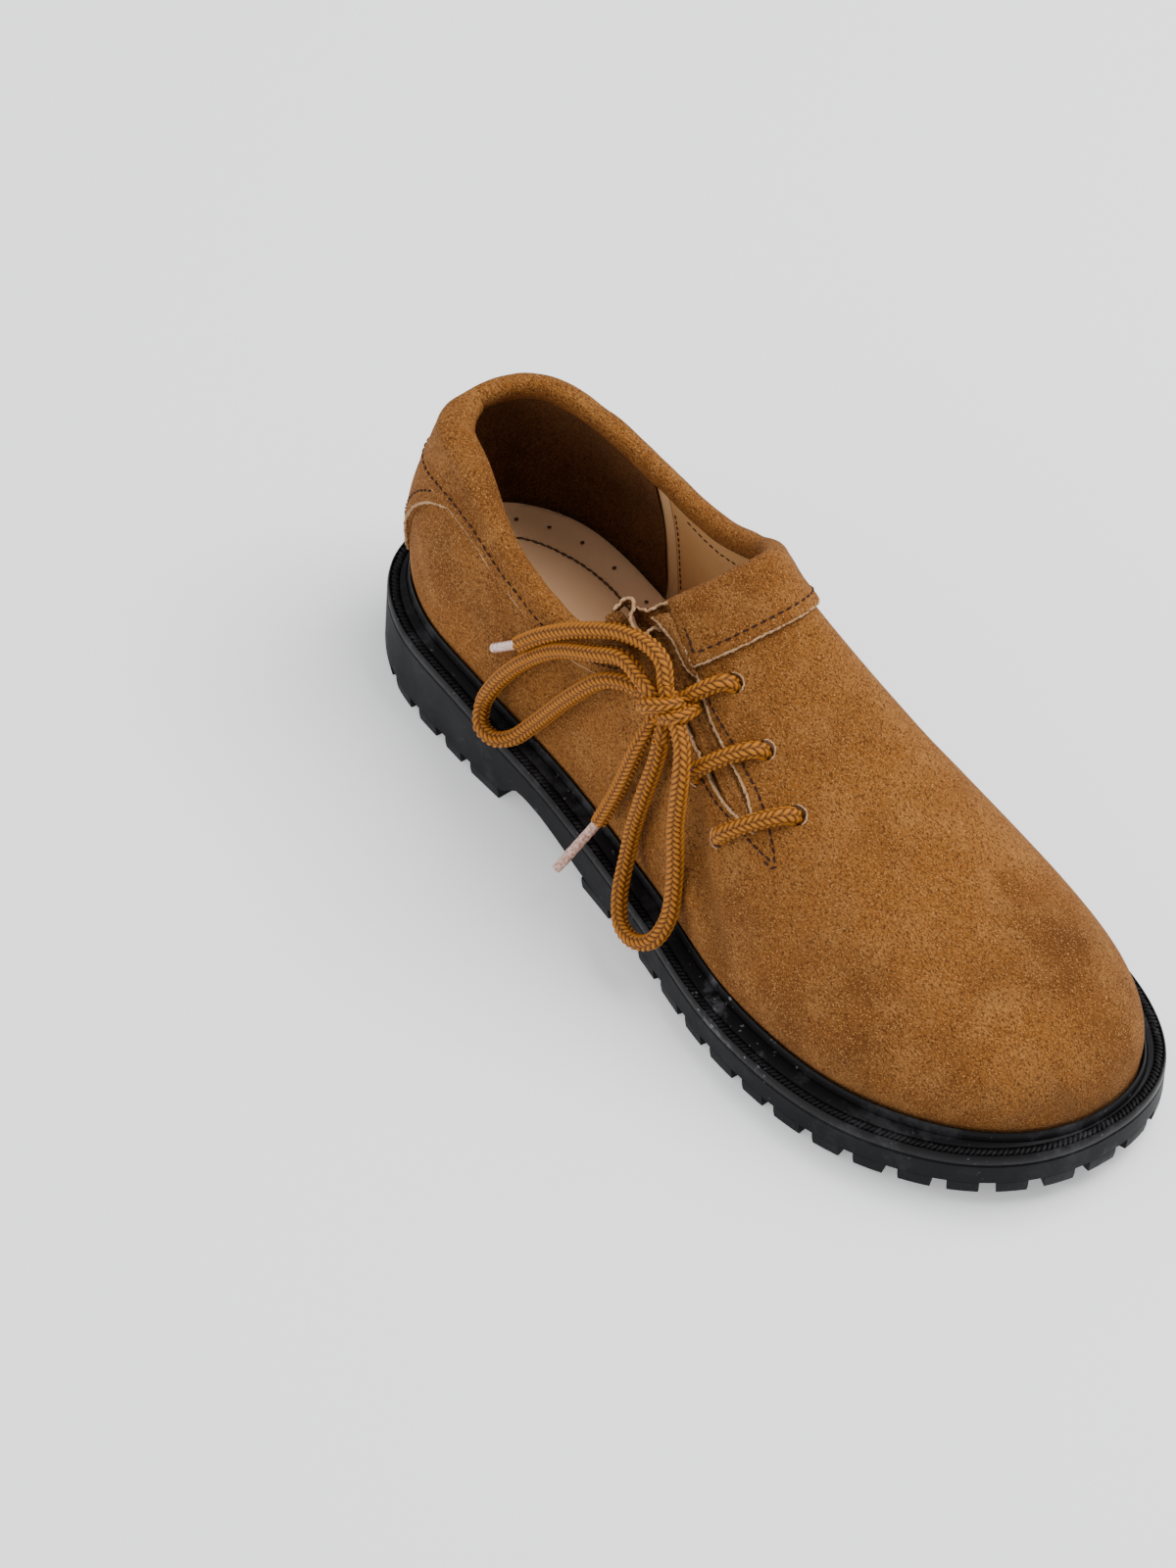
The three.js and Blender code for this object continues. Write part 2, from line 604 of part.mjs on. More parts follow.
function makeUpper() {
  const opening = even(OPENING_STEPS, 0, COLLAR_TURNS);
  const throat = collarSpot(COLLAR_TURNS, 1, COLLAR_SEAT).at;
  const front = even(FRONT_STEPS, throat, LAST_TURNS).slice(1);
  const tops = { '-1': [], 1: [] };
  const stations = [];
  for (const turn of opening) {
    stations.push(collarSpot(turn, 1, COLLAR_SEAT).at);
    for (const side of [-1, 1]) tops[side].push(collarSpot(turn, side, COLLAR_SEAT).angle);
  }
  for (const at of front) {
    stations.push(at);
    for (const side of [-1, 1]) tops[side].push(0);
  }
  const skin = (out) => ringOf(stations).map(({ at, side }, i) => {
    const row = i < stations.length ? i : 2 * (stations.length - 1) - i;
    const top = tops[side][row];
    const foot = upperPoint(at, side * 90, out).setZ(weltTop(at) + GAP);
    const points = even(WALL_STEPS, 0, 1).map((t) => {
      return upperPoint(at, side * 90 + (top - side * 90) * Math.pow(t, WALL_SPREAD), out);
    });
    return { open: row <= OPENING_STEPS, points: [foot, ...points] };
  });
  const outer = skin(0);
  const inner = skin(-UPPER_WALL);
  const quads = [];
  for (let i = 0; i < outer.length; i += 1) {
    const j = (i + 1) % outer.length;
    const [a, b, c, d] = [outer[i].points, outer[j].points, inner[j].points, inner[i].points];
    const top = a.length - 1;
    for (let r = 0; r < top; r += 1) {
      quads.push([a[r], b[r], b[r + 1], a[r + 1]]);
      quads.push([d[r + 1], c[r + 1], c[r], d[r]]);
    }
    quads.push([d[0], c[0], b[0], a[0]]);
    if (outer[i].open && outer[j].open) quads.push([a[top], b[top], c[top], d[top]]);
  }
  let body = toManifold(solid(quads));
  body = body.subtract(slitCutter());
  for (const pair of EYELETS) {
    body = body.subtract(eyeletCutter(pair.vampAt, pair.vampAngle));
    body = body.subtract(eyeletCutter(pair.quarterAt, pair.quarterAngle));
  }
  return fromManifold(body);
}

function slitCutter() {
  const rows = SLIT.map((row) => [
    upperPoint(row.vampAt, row.vampAngle, CUT_OVER),
    upperPoint(row.vampAt, row.vampAngle, -UPPER_WALL - CUT_OVER),
    upperPoint(row.quarterAt, row.quarterAngle, -UPPER_WALL - CUT_OVER),
    upperPoint(row.quarterAt, row.quarterAngle, CUT_OVER),
  ]);
  return toManifold(sweepRows(rows, [[0, 1, 2], [0, 2, 3]]));
}

// Join rows of matching section points, with the ends closed by the given triangles
function sweepRows(rows, cap) {
  const quads = [];
  const count = rows[0].length;
  for (let row = 0; row + 1 < rows.length; row += 1) {
    for (let i = 0; i < count; i += 1) {
      const j = (i + 1) % count;
      quads.push([rows[row][i], rows[row][j], rows[row + 1][j], rows[row + 1][i]]);
    }
  }
  const last = rows[rows.length - 1];
  for (const [a, b, c] of cap) {
    quads.push([rows[0][c], rows[0][b], rows[0][a]]);
    quads.push([last[a], last[b], last[c]]);
  }
  return solid(quads);
}

function eyeletCutter(at, angle) {
  const hole = new THREE.CylinderGeometry(EYELET_RADIUS, EYELET_RADIUS, 6 * UPPER_WALL, 10);
  const turn = new THREE.Quaternion().setFromUnitVectors(new THREE.Vector3(0, 1, 0), upperNormal(at, angle));
  const middle = upperPoint(at, angle, -UPPER_WALL / 2);
  hole.applyMatrix4(new THREE.Matrix4().compose(middle, turn, new THREE.Vector3(1, 1, 1)));
  return toManifold(outward(bare(hole)));
}

// Collar: a padded roll on the cut edge with a band hanging down the outer face
function collarSection() {
  const r = COLLAR_RADIUS;
  const lip = OVERLAY_GAP + BAND_THICKNESS;
  return [
    [COLLAR_DEPTH, OVERLAY_GAP], [COLLAR_DEPTH, lip], [COLLAR_DEPTH * 0.7, lip + GAP],
    [COLLAR_DEPTH * 0.4, lip + 3.5 * GAP], [r * 0.5, r * 0.98], [-r * 0.45, r * 0.86], [-r * 0.95, r * 0.2],
    [-r * 0.95, -r * 0.6], [-r * 0.3, -r * 1.2], [r * 0.6, -r * 1.15], [r * 1.02, -r * 0.55],
    [r * 1.02, OVERLAY_GAP], [COLLAR_DEPTH * 0.5, OVERLAY_GAP],
  ];
}

function makeCollar() {
  const spots = [];
  for (const turn of even(4, BAND_START, COLLAR_TURNS)) spots.push({ turn, side: -1 });
  for (const turn of even(18, COLLAR_TURNS, 0).slice(1)) spots.push({ turn, side: 1 });
  for (const turn of even(14, 0, BAND_END).slice(1)) spots.push({ turn, side: -1 });
  const middle = spots.map(({ turn, side }) => {
    const spot = collarSpot(turn, side);
    return { ...spot, point: upperPoint(spot.at, spot.angle) };
  });
  const section = collarSection();
  const rows = middle.map((spot, i) => {
    const before = middle[Math.max(i - 1, 0)].point;
    const after = middle[Math.min(i + 1, middle.length - 1)].point;
    const run = after.clone().sub(before).normalize();
    const normal = upperNormal(spot.at, spot.angle);
    const down = run.clone().cross(normal).normalize();
    return section.map(([deep, high]) => {
      if (deep <= 0) return spot.point.clone().addScaledVector(down, deep).addScaledVector(normal, high);
      const goal = walk(spot.at, spot.angle, down, deep);
      return upperPoint(goal.at, goal.angle).addScaledVector(upperNormal(goal.at, goal.angle), high);
    });
  });
  const flat = section.map(([deep, high]) => new THREE.Vector2(deep, high));
  return sweepRows(rows, THREE.ShapeUtils.triangulateShape(flat, []));
}

// A sheet between two faces of a grid of points
function sheet(outer, inner) {
  const quads = [];
  const rows = outer.length;
  const cols = outer[0].length;
  const [foot, top] = [0, rows - 1];
  const [left, right] = [0, cols - 1];
  for (let r = 0; r + 1 < rows; r += 1) {
    for (let c = 0; c + 1 < cols; c += 1) {
      quads.push([outer[r][c], outer[r][c + 1], outer[r + 1][c + 1], outer[r + 1][c]]);
      quads.push([inner[r + 1][c], inner[r + 1][c + 1], inner[r][c + 1], inner[r][c]]);
    }
    quads.push([outer[r][left], outer[r + 1][left], inner[r + 1][left], inner[r][left]]);
    quads.push([inner[r][right], inner[r + 1][right], outer[r + 1][right], outer[r][right]]);
  }
  for (let c = 0; c + 1 < cols; c += 1) {
    quads.push([inner[foot][c], inner[foot][c + 1], outer[foot][c + 1], outer[foot][c]]);
    quads.push([outer[top][c], outer[top][c + 1], inner[top][c + 1], inner[top][c]]);
  }
  return solid(quads);
}

function makeBackStay() {
  const rows = even(7, 0, STAY.length - 1);
  const face = (out) => rows.map((row) => even(16, -1, 1).map((share) => {
    const side = share < 0 ? -1 : 1;
    const at = Math.abs(share) * along(STAY, 'reach', row);
    const openShare = (shareOf(at) * (SOLE_LENGTH - 2 * WELT_EDGE)) / OPENING_LENGTH;
    const turn = (Math.acos(1 - 2 * openShare) / Math.PI) * COLLAR_TURNS;
    const cone = CONE_HEIGHT * along(SECTION, 'height', at);
    const lift = THREE.MathUtils.degToRad(along(COLLAR, sideName(side), turn));
    const top = cone * Math.sin(lift) - COLLAR_DEPTH - OVERLAY_GAP;
    const rise = top * along(STAY, 'height', row);
    return upperPoint(at, side * (90 - THREE.MathUtils.radToDeg(Math.asin(rise / cone))), out);
  }));
  return sheet(face(OVERLAY_GAP + STAY_THICKNESS), face(OVERLAY_GAP));
}

function makeGusset() {
  const rows = even(14, 0, GUSSET.length - 1);
  const deep = -UPPER_WALL - OVERLAY_GAP;
  const face = (extra) => rows.map((row) => {
    const at = along(GUSSET, 'at', row);
    const angle = along(GUSSET, 'angle', row);
    const ahead = Math.min(row + 0.2, GUSSET.length - 1);
    const behind = Math.max(row - 0.2, 0);
    const run = upperPoint(along(GUSSET, 'at', ahead), along(GUSSET, 'angle', ahead))
      .sub(upperPoint(along(GUSSET, 'at', behind), along(GUSSET, 'angle', behind)))
      .normalize();
    const across = run.clone().cross(upperNormal(at, angle)).normalize();
    const out = deep + (OVERLAY_GAP - deep) * Math.max(0, along(GUSSET, 'rise', row)) - extra;
    return even(6, -1, 1).map((share) => {
      const spot = walk(at, angle, across, share * GUSSET_HALF * along(GUSSET, 'half', row), 4);
      return upperPoint(spot.at, spot.angle, out);
    });
  });
  return sheet(face(0), face(GUSSET_THICKNESS));
}

// Laces
function tube(points, diameter) {
  const path = new THREE.CatmullRomCurve3(points, false, 'centripetal');
  const ring = ovalPoints(0, 0, diameter / 2, diameter / 2, LACE_SIDES);
  const steps = Math.max(2, Math.round(path.getLength() / (TUBE_STEP * diameter)));
  const sweep = { steps, extrudePath: path, bevelEnabled: false };
  return outward(bare(new THREE.ExtrudeGeometry(new THREE.Shape(ring), sweep)));
}

const vectors = (list) => list.map((spot) => new THREE.Vector3(...spot));

function makeBar(pair) {
  const seat = LACE_DIAMETER / 2 + GAP;
  const points = even(8, pair.from, BAR_END).map((t) => {
    const at = THREE.MathUtils.lerp(pair.quarterAt, pair.vampAt, t);
    const angle = THREE.MathUtils.lerp(pair.quarterAngle, pair.vampAngle, t);
    const arch = LACE_DIAMETER * BAR_ARCH * Math.sin(Math.PI * t);
    return upperPoint(at, angle).addScaledVector(upperNormal(at, angle), seat + arch);
  });
  return tube(points, LACE_DIAMETER);
}

function makeKnot() {
  const knot = new THREE.SphereGeometry(KNOT_RADIUS, 12, 8);
  knot.scale(1, KNOT_DEPTH, KNOT_HEIGHT);
  knot.translate(...KNOT_AT);
  return outward(bare(knot));
}

function makeAglet(from, to) {
  const [start, end] = vectors([from, to]);
  const run = end.clone().sub(start).normalize();
  start.addScaledVector(run, 2.5 * GAP);
  return tube([start, start.clone().lerp(end, 0.5), end], AGLET_DIAMETER);
}

// Assembly
const RUBBER = { color: 0x1c1c1f, roughness: 0.55, metalness: 0 };
const SUEDE = { color: 0xa8662a, roughness: 0.95, metalness: 0 };
const INSOLE_LEATHER = { color: 0xb98d5c, roughness: 0.6, metalness: 0 };
const LACE_CORD = { color: 0xb36a14, roughness: 0.8, metalness: 0 };
const AGLET_PLASTIC = { color: 0xd9b8a8, roughness: 0.3, metalness: 0 };

const shoe = new THREE.Group();

function addPiece(name, geometry, finish) {
  const piece = new THREE.Mesh(geometry, new THREE.MeshStandardMaterial(finish));
  piece.name = name;
  shoe.add(piece);
}

addPiece('outsole', makeOutsole(), RUBBER);
addPiece('welt', makeWelt(), RUBBER);
addPiece('insole', makeInsole(), INSOLE_LEATHER);
addPiece('upper', makeUpper(), SUEDE);
addPiece('collar', makeCollar(), SUEDE);
addPiece('back_stay', makeBackStay(), SUEDE);
addPiece('gusset', makeGusset(), SUEDE);
EYELETS.forEach((pair, i) => addPiece(`lace_bar_${i + 1}`, makeBar(pair), LACE_CORD));

// The standing pieces set the origin: the middle of their box, on the ground
const box = new THREE.Box3().setFromObject(shoe);
const shift = new THREE.Vector3(-(box.min.x + box.max.x) / 2, -(box.min.y + box.max.y) / 2, -box.min.z);

addPiece('lace_knot', makeKnot(), LACE_CORD);
addPiece('lace_loop_heel', tube(vectors(HEEL_LOOP), LACE_DIAMETER), LACE_CORD);
addPiece('lace_loop_toe', tube(vectors(TOE_LOOP), LACE_DIAMETER), LACE_CORD);
addPiece('lace_end_heel', tube(vectors(HEEL_END), LACE_DIAMETER), LACE_CORD);
addPiece('lace_end_toe', tube(vectors(TOE_END), LACE_DIAMETER), LACE_CORD);
addPiece('aglet_heel', makeAglet(HEEL_END[HEEL_END.length - 1], HEEL_AGLET_TIP), AGLET_PLASTIC);
addPiece('aglet_toe', makeAglet(TOE_END[TOE_END.length - 1], TOE_AGLET_TIP), AGLET_PLASTIC);
shoe.position.copy(shift);

export default shoe;
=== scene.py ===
"""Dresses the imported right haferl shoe: brushed suede, a welted rubber sole and a tied round lace.

Sizes are in millimetres from the back of the heel, as the shoe is drawn; meshes are made in the
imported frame, in metres.
"""

import logging
import math
from collections.abc import Sequence
from dataclasses import dataclass
from enum import Enum

import bmesh
import bpy
import numpy as np
from mathutils import Matrix, Vector


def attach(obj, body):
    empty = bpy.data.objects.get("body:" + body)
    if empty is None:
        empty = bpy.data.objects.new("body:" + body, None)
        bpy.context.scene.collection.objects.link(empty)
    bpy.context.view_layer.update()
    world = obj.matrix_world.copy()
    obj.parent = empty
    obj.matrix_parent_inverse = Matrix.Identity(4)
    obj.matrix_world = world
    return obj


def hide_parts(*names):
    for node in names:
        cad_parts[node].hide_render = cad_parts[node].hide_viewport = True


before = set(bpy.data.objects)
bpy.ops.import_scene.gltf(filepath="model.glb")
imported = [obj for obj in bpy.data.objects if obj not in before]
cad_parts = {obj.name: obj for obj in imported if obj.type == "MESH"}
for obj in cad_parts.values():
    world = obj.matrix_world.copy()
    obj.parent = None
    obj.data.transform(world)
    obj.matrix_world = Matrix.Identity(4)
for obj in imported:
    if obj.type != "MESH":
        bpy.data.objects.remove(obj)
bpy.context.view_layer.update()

Array = np.ndarray
Piece = bpy.types.Object
Material = bpy.types.Material
Socket = bpy.types.NodeSocket
Rgb = tuple[float, float, float]

MM = 0.001
FRAME_ORIGIN = np.array((143.0, 0.3836, 0.0))
BODY = "root"
log = logging.getLogger("haferl_shoe")


class Slot(Enum):
    """The record's material slots."""

    SOLE = "sole_rubber"
    WELT = "welt_rubber"
    SUEDE = "suede"
    INSOLE = "insole_leather"
    LACE = "lace_cord"
    AGLET = "aglet"


# Numbers along tables


def along(values: Sequence[float], place: Array) -> Array:
    """Reads a table of evenly spaced values along a smooth curve.

    Args:
        values: The table.
        place: Places in the table, counted in rows.

    Returns:
        The value at each place.
    """
    table = np.asarray(values, float)
    top = len(table) - 1
    spot = np.clip(np.asarray(place, float), 0, top)
    row = np.minimum(np.floor(spot).astype(int), top - 1)
    t = spot - row
    b, c = table[row], table[row + 1]
    a = np.where(row > 0, table[np.maximum(row - 1, 0)], 2 * b - c)
    d = np.where(row + 2 <= top, table[np.minimum(row + 2, top)], 2 * c - b)
    bend = 2 * a - 5 * b + 4 * c - d
    twist = 3 * b - a - 3 * c + d
    return 0.5 * (2 * b + (c - a) * t + bend * t**2 + twist * t**3)


def smooth(value: Array) -> Array:
    """Eases a value from 0 to 1."""
    t = np.clip(value, 0, 1)
    return t * t * (3 - 2 * t)


def unit(vectors: Array) -> Array:
    """Scales vectors to length one."""
    return vectors / np.maximum(np.linalg.norm(vectors, axis=-1, keepdims=True), 1e-9)


def ripple(points: Array, wavelength: float, seed: int) -> Array:
    """Gives a soft seeded unevenness in space.

    Args:
        points: Points in millimetres.
        wavelength: The size of one swell.
        seed: Which unevenness.

    Returns:
        A value from about -1 to 1 for each point.
    """
    rng = np.random.default_rng(seed)
    waves = unit(rng.normal(size=(7, 3))) * (2 * math.pi / wavelength)
    waves *= rng.uniform(0.7, 1.4, (7, 1))
    phases = rng.uniform(0, 2 * math.pi, 7)
    return np.sin(np.asarray(points) @ waves.T + phases).sum(axis=-1) / 3.2


# The last


@dataclass(frozen=True)
class Last:
    """The shape that the shoe is built on, with the sole's plan."""

    sole_length: float = 286.0
    ball_width: float = 109.5
    forefoot_height: float = 15.0
    heel_height: float = 26.5
    toe_spring: float = 7.2
    arch_rise: float = 6.0
    heel_length: float = 78.0
    waist_length: float = 40.0
    breast_slope: float = 9.0
    welt_edge: float = 5.4
    lip_height: float = 3.0
    inset_fade: float = 2.2
    cone_height: float = 115.0
    opening_length: float = 125.0
    heel_lean: float = 12.0
    heel_bulge: float = 3.0
    lean_height: float = 60.0
    lean_limit: float = 1.3
    bulge_limit: float = 1.2
    lean_reach: float = 75.0
    tuck_share: float = 0.06
    tuck_height: float = 4.0
    seat_forward: float = 0.7
    seat_spread: float = 1.15
    lateral: tuple = (0.0, 0.215, 0.335, 0.365, 0.368, 0.41, 0.477, 0.457, 0.342, 0.165, -0.065)
    medial: tuple = (0.0, 0.198, 0.318, 0.335, 0.303, 0.342, 0.452, 0.486, 0.426, 0.288, 0.065)
    heel: tuple = (1.0, 1.0, 1.0, 0.9, 0.55, 0.18, 0.0, 0.0, 0.0, 0.0, 0.0)
    spring: tuple = (0.0, 0.0, 0.0, 0.0, 0.0, 0.0, 0.0, 0.08, 0.42, 0.8, 1.0)
    height: tuple = (1.0, 1.0, 0.99, 0.948, 0.878, 0.713, 0.487, 0.33, 0.243, 0.143, 0.0)
    ridge: tuple = (0.0, 0.013, 0.024, 0.035, 0.051, 0.075, 0.091, 0.097, 0.093, 0.081, 0.065)
    round_lateral: tuple = (1.2, 2.3, 3.3, 2.6, 1.35, 0.98, 0.86, 0.79, 0.74, 0.71, 0.69)
    round_medial: tuple = (1.2, 2.3, 3.3, 2.6, 1.35, 1.05, 0.93, 0.88, 0.84, 0.81, 0.79)
    crown: tuple = (1.0, 1.0, 1.0, 1.0, 1.0, 1.0, 0.95, 0.9, 0.85, 0.82, 0.8)
    collar_lateral: tuple = (26.5, 28.0, 29.7, 30.6, 30.4, 33.0, 44.5, 65.0, 90.0)
    collar_medial: tuple = (26.5, 28.0, 29.5, 30.6, 31.4, 35.2, 46.8, 67.0, 90.0)

    @property
    def turns(self) -> int:
        """The number of even turns from heel to toe."""
        return len(self.lateral) - 1

    @property
    def collar_turns(self) -> int:
        """The number of even turns from the back of the collar to the throat."""
        return len(self.collar_lateral) - 1

    def share_of(self, at: Array) -> Array:
        """Turns stations into shares of the length."""
        return (1 - np.cos(np.asarray(at) * math.pi / self.turns)) / 2

    def station_of(self, share: Array) -> Array:
        """Turns shares of the length into stations."""
        return np.arccos(np.clip(1 - 2 * np.asarray(share), -1, 1)) / math.pi * self.turns

    def welt_top(self, at: Array) -> Array:
        """Height of the welt's upper face."""
        rise = (self.heel_height - self.forefoot_height) * along(self.heel, at)
        return self.forefoot_height + rise + self.toe_spring * along(self.spring, at)

    def ground(self, at: Array) -> Array:
        """Height of the tread over the floor."""
        return self.toe_spring * np.maximum(0, along(self.spring, at))

    def arch_lift(self, x: Array) -> Array:
        """How far the waist is lifted over the tread.

        Args:
            x: Distances from the heel.

        Returns:
            The lifts.
        """
        up = smooth((x - self.heel_length) / self.breast_slope)
        down = smooth((x - self.heel_length - self.breast_slope) / self.waist_length)
        return self.arch_rise * up * (1 - down)

    def outline(self, at: Array, side: Array, inset: Array) -> tuple[Array, Array]:
        """Gives points of the sole's plan, moved in from its edge.

        Args:
            at: Stations from heel to toe.
            side: -1 on the outer side, 1 on the inner.
            inset: How far inside the edge.

        Returns:
            The x and y values.
        """
        fade = np.tanh(self.inset_fade * np.sin(at * math.pi / self.turns)) / math.tanh(self.inset_fade)
        half = np.where(side < 0, along(self.lateral, at), along(self.medial, at))
        x = inset + (self.sole_length - 2 * inset) * self.share_of(at)
        return x, side * (self.ball_width * half - inset * fade)

    def point(self, at: Array, angle: Array, out: Array = 0.0) -> Array:
        """Gives points of the upper.

        Args:
            at: Stations from heel to toe.
            angle: Degrees off the ridge, from -90 at the outer feather line to 90 at the inner.
            out: Distance off the outer face.

        Returns:
            The points in millimetres.
        """
        at, angle, out = np.broadcast_arrays(np.asarray(at, float), np.asarray(angle, float), out)
        side = np.where(angle < 0, -1.0, 1.0)
        lift = np.radians(90 - np.minimum(np.abs(angle), 90))
        foot_x, foot_y = self.outline(at, side, self.welt_edge - out)
        ridge = self.ball_width * along(self.ridge, at)
        height = np.maximum(0, self.cone_height * along(self.height, at) + out)
        rise = height * np.sin(lift) ** along(self.crown, at)
        rounding = np.where(side < 0, along(self.round_lateral, at), along(self.round_medial, at))
        tuck = 1 - self.tuck_share * np.exp(-rise / self.tuck_height)
        width = np.abs(foot_y - ridge) * np.maximum(np.cos(lift), 0) ** rounding * tuck
        level = rise / self.lean_height
        bulge = self.heel_bulge * np.sin(math.pi * np.minimum(level, self.bulge_limit))
        lean = self.heel_lean * np.minimum(level, self.lean_limit) ** 2
        reach = np.clip(1 - foot_x / self.lean_reach, 0, 1) ** 2
        x = foot_x + (lean - bulge) * reach
        return np.stack([x, ridge + side * width, self.welt_top(at) + self.lip_height + rise], -1)

    def slopes(self, at: Array, angle: Array) -> tuple[Array, Array]:
        """Gives the outer face's slopes along the stations and along the angles.

        Args:
            at: Stations.
            angle: Angles.

        Returns:
            The two slopes.
        """
        ahead, tilt = 0.02, 1.2
        back = np.minimum(at, ahead)
        run = self.point(at + ahead, angle) - self.point(at - back, angle)
        across = self.point(at, angle + tilt) - self.point(at, angle - tilt)
        return run / (ahead + back)[..., None], across / (2 * tilt)

    def normal(self, at: Array, angle: Array) -> Array:
        """Gives the outward direction of the outer face.

        Args:
            at: Stations.
            angle: Angles.

        Returns:
            Unit directions.
        """
        at, angle = np.broadcast_arrays(np.asarray(at, float), np.asarray(angle, float))
        run, across = self.slopes(at, angle)
        return unit(np.cross(run, across))

    def walk(self, at: Array, angle: Array, way: Array, length: Array) -> tuple[Array, Array]:
        """Walks over the outer face in a fixed direction.

        Args:
            at: Stations to start from.
            angle: Angles to start from.
            way: Unit directions in space.
            length: Lengths to walk.

        Returns:
            The stations and angles reached.
        """
        steps = 8
        goal = way * (np.asarray(length)[..., None] / steps)
        u, v = (np.array(x, float) for x in np.broadcast_arrays(at, angle))
        for _ in range(steps):
            run, across = self.slopes(u, v)
            a, b, c = (run * run).sum(-1), (run * across).sum(-1), (across * across).sum(-1)
            p, q = (run * goal).sum(-1), (across * goal).sum(-1)
            det = a * c - b * b
            u = u + (c * p - b * q) / det
            v = v + (a * q - b * p) / det
        return u, v

    def collar_turn(self, at: Array) -> Array:
        """Turns stations into turns of the collar."""
        share = self.share_of(at) * (self.sole_length - 2 * self.welt_edge) / self.opening_length
        return np.arccos(np.clip(1 - 2 * share, -1, 1)) / math.pi * self.collar_turns

    def collar_spot(self, turn: Array, side: Array, seat: float = 0.0) -> tuple[Array, Array]:
        """Gives stations and angles of the collar line.

        Args:
            turn: Turns from the back of the collar to the throat.
            side: -1 on the outer side, 1 on the inner.
            seat: How far under the line.

        Returns:
            Stations and angles.
        """
        turn, side = np.broadcast_arrays(np.asarray(turn, float), np.asarray(side, float))
        length = self.opening_length + seat * self.seat_forward
        x = length * (1 - np.cos(turn * math.pi / self.collar_turns)) / 2
        at = self.station_of(x / (self.sole_length - 2 * self.welt_edge))
        lift = np.where(side < 0, along(self.collar_lateral, turn), along(self.collar_medial, turn))
        cone = self.cone_height * along(self.height, at)
        drop = np.degrees(seat / cone) * self.seat_spread * (1 - (lift / 90) ** 3)
        return at, side * (90 - lift + drop)


LAST = Last()


@dataclass(frozen=True)
class Crease:
    """One soft trough or ridge, from the hand of the foot that wore the shoe in."""

    route: tuple[tuple[float, float], ...]
    depth: float
    width: float


CREASES = (
    Crease(((5.08, -53.5), (5.21, -58.3), (5.33, -62), (5.49, -67), (5.62, -70.5), (5.77, -74.2),
            (5.92, -78.5)), -3.2, 4.4),
    Crease(((5.36, -78), (5.5, -74), (5.52, -66)), 1.6, 7.0),
    Crease(((4.75, -62), (4.9, -70), (4.95, -80)), -1.2, 8.0),
    Crease(((6.3, -52), (6.5, -62), (6.6, -74)), -0.9, 9.0),
    Crease(((5.75, -8), (5.95, 8), (6.05, 26)), -0.8, 9.0),
    Crease(((6.35, -12), (6.5, 8), (6.55, 28)), 0.7, 9.0),
    Crease(((7.35, -75), (7.6, -66)), -1.1, 9.0),
    Crease(((8.95, -16), (9.05, 6)), -1.3, 8.0),
    Crease(((8.6, 24), (8.75, 34)), 0.8, 7.0),
    Crease(((3.4, -84), (3.9, -76), (4.3, -72)), -0.8, 10.0),
    Crease(((2.0, -84), (2.6, -78)), 0.7, 12.0),
    Crease(((4.9, 78), (5.4, 66), (5.6, 52)), -1.6, 9.0),
    Crease(((3.2, 80), (4.2, 74)), -0.9, 12.0),
)


def crease(points: Array) -> Array:
    """Moves points of the soft upper by the creases.

    Args:
        points: Points in millimetres.

    Returns:
        The moved points.
    """
    points = np.array(points, float)
    flat = points.reshape(-1, 3)
    shift = np.zeros_like(flat)
    for one in CREASES:
        route = np.array(one.route)
        line = LAST.point(route[:, 0], route[:, 1])
        faces = LAST.normal(route[:, 0], route[:, 1])
        best = np.full(len(flat), 1e9)
        place = np.zeros(len(flat))
        way = np.zeros_like(flat)
        legs = len(line) - 1
        for leg in range(legs):
            run = line[leg + 1] - line[leg]
            t = np.clip(((flat - line[leg]) @ run) / (run @ run), 0, 1)
            gap = np.linalg.norm(flat - line[leg] - t[:, None] * run, axis=1)
            near = gap < best
            best = np.where(near, gap, best)
            place = np.where(near, (leg + t) / legs, place)
            way[near] = (faces[leg] + t[:, None] * (faces[leg + 1] - faces[leg]))[near]
        fade = 0.35 + 0.65 * np.sin(math.pi * np.clip(place, 0, 1))
        shift += way * (one.depth * fade * np.exp(-((best / one.width) ** 2)))[:, None]
    return (flat + shift).reshape(points.shape)


# Meshes


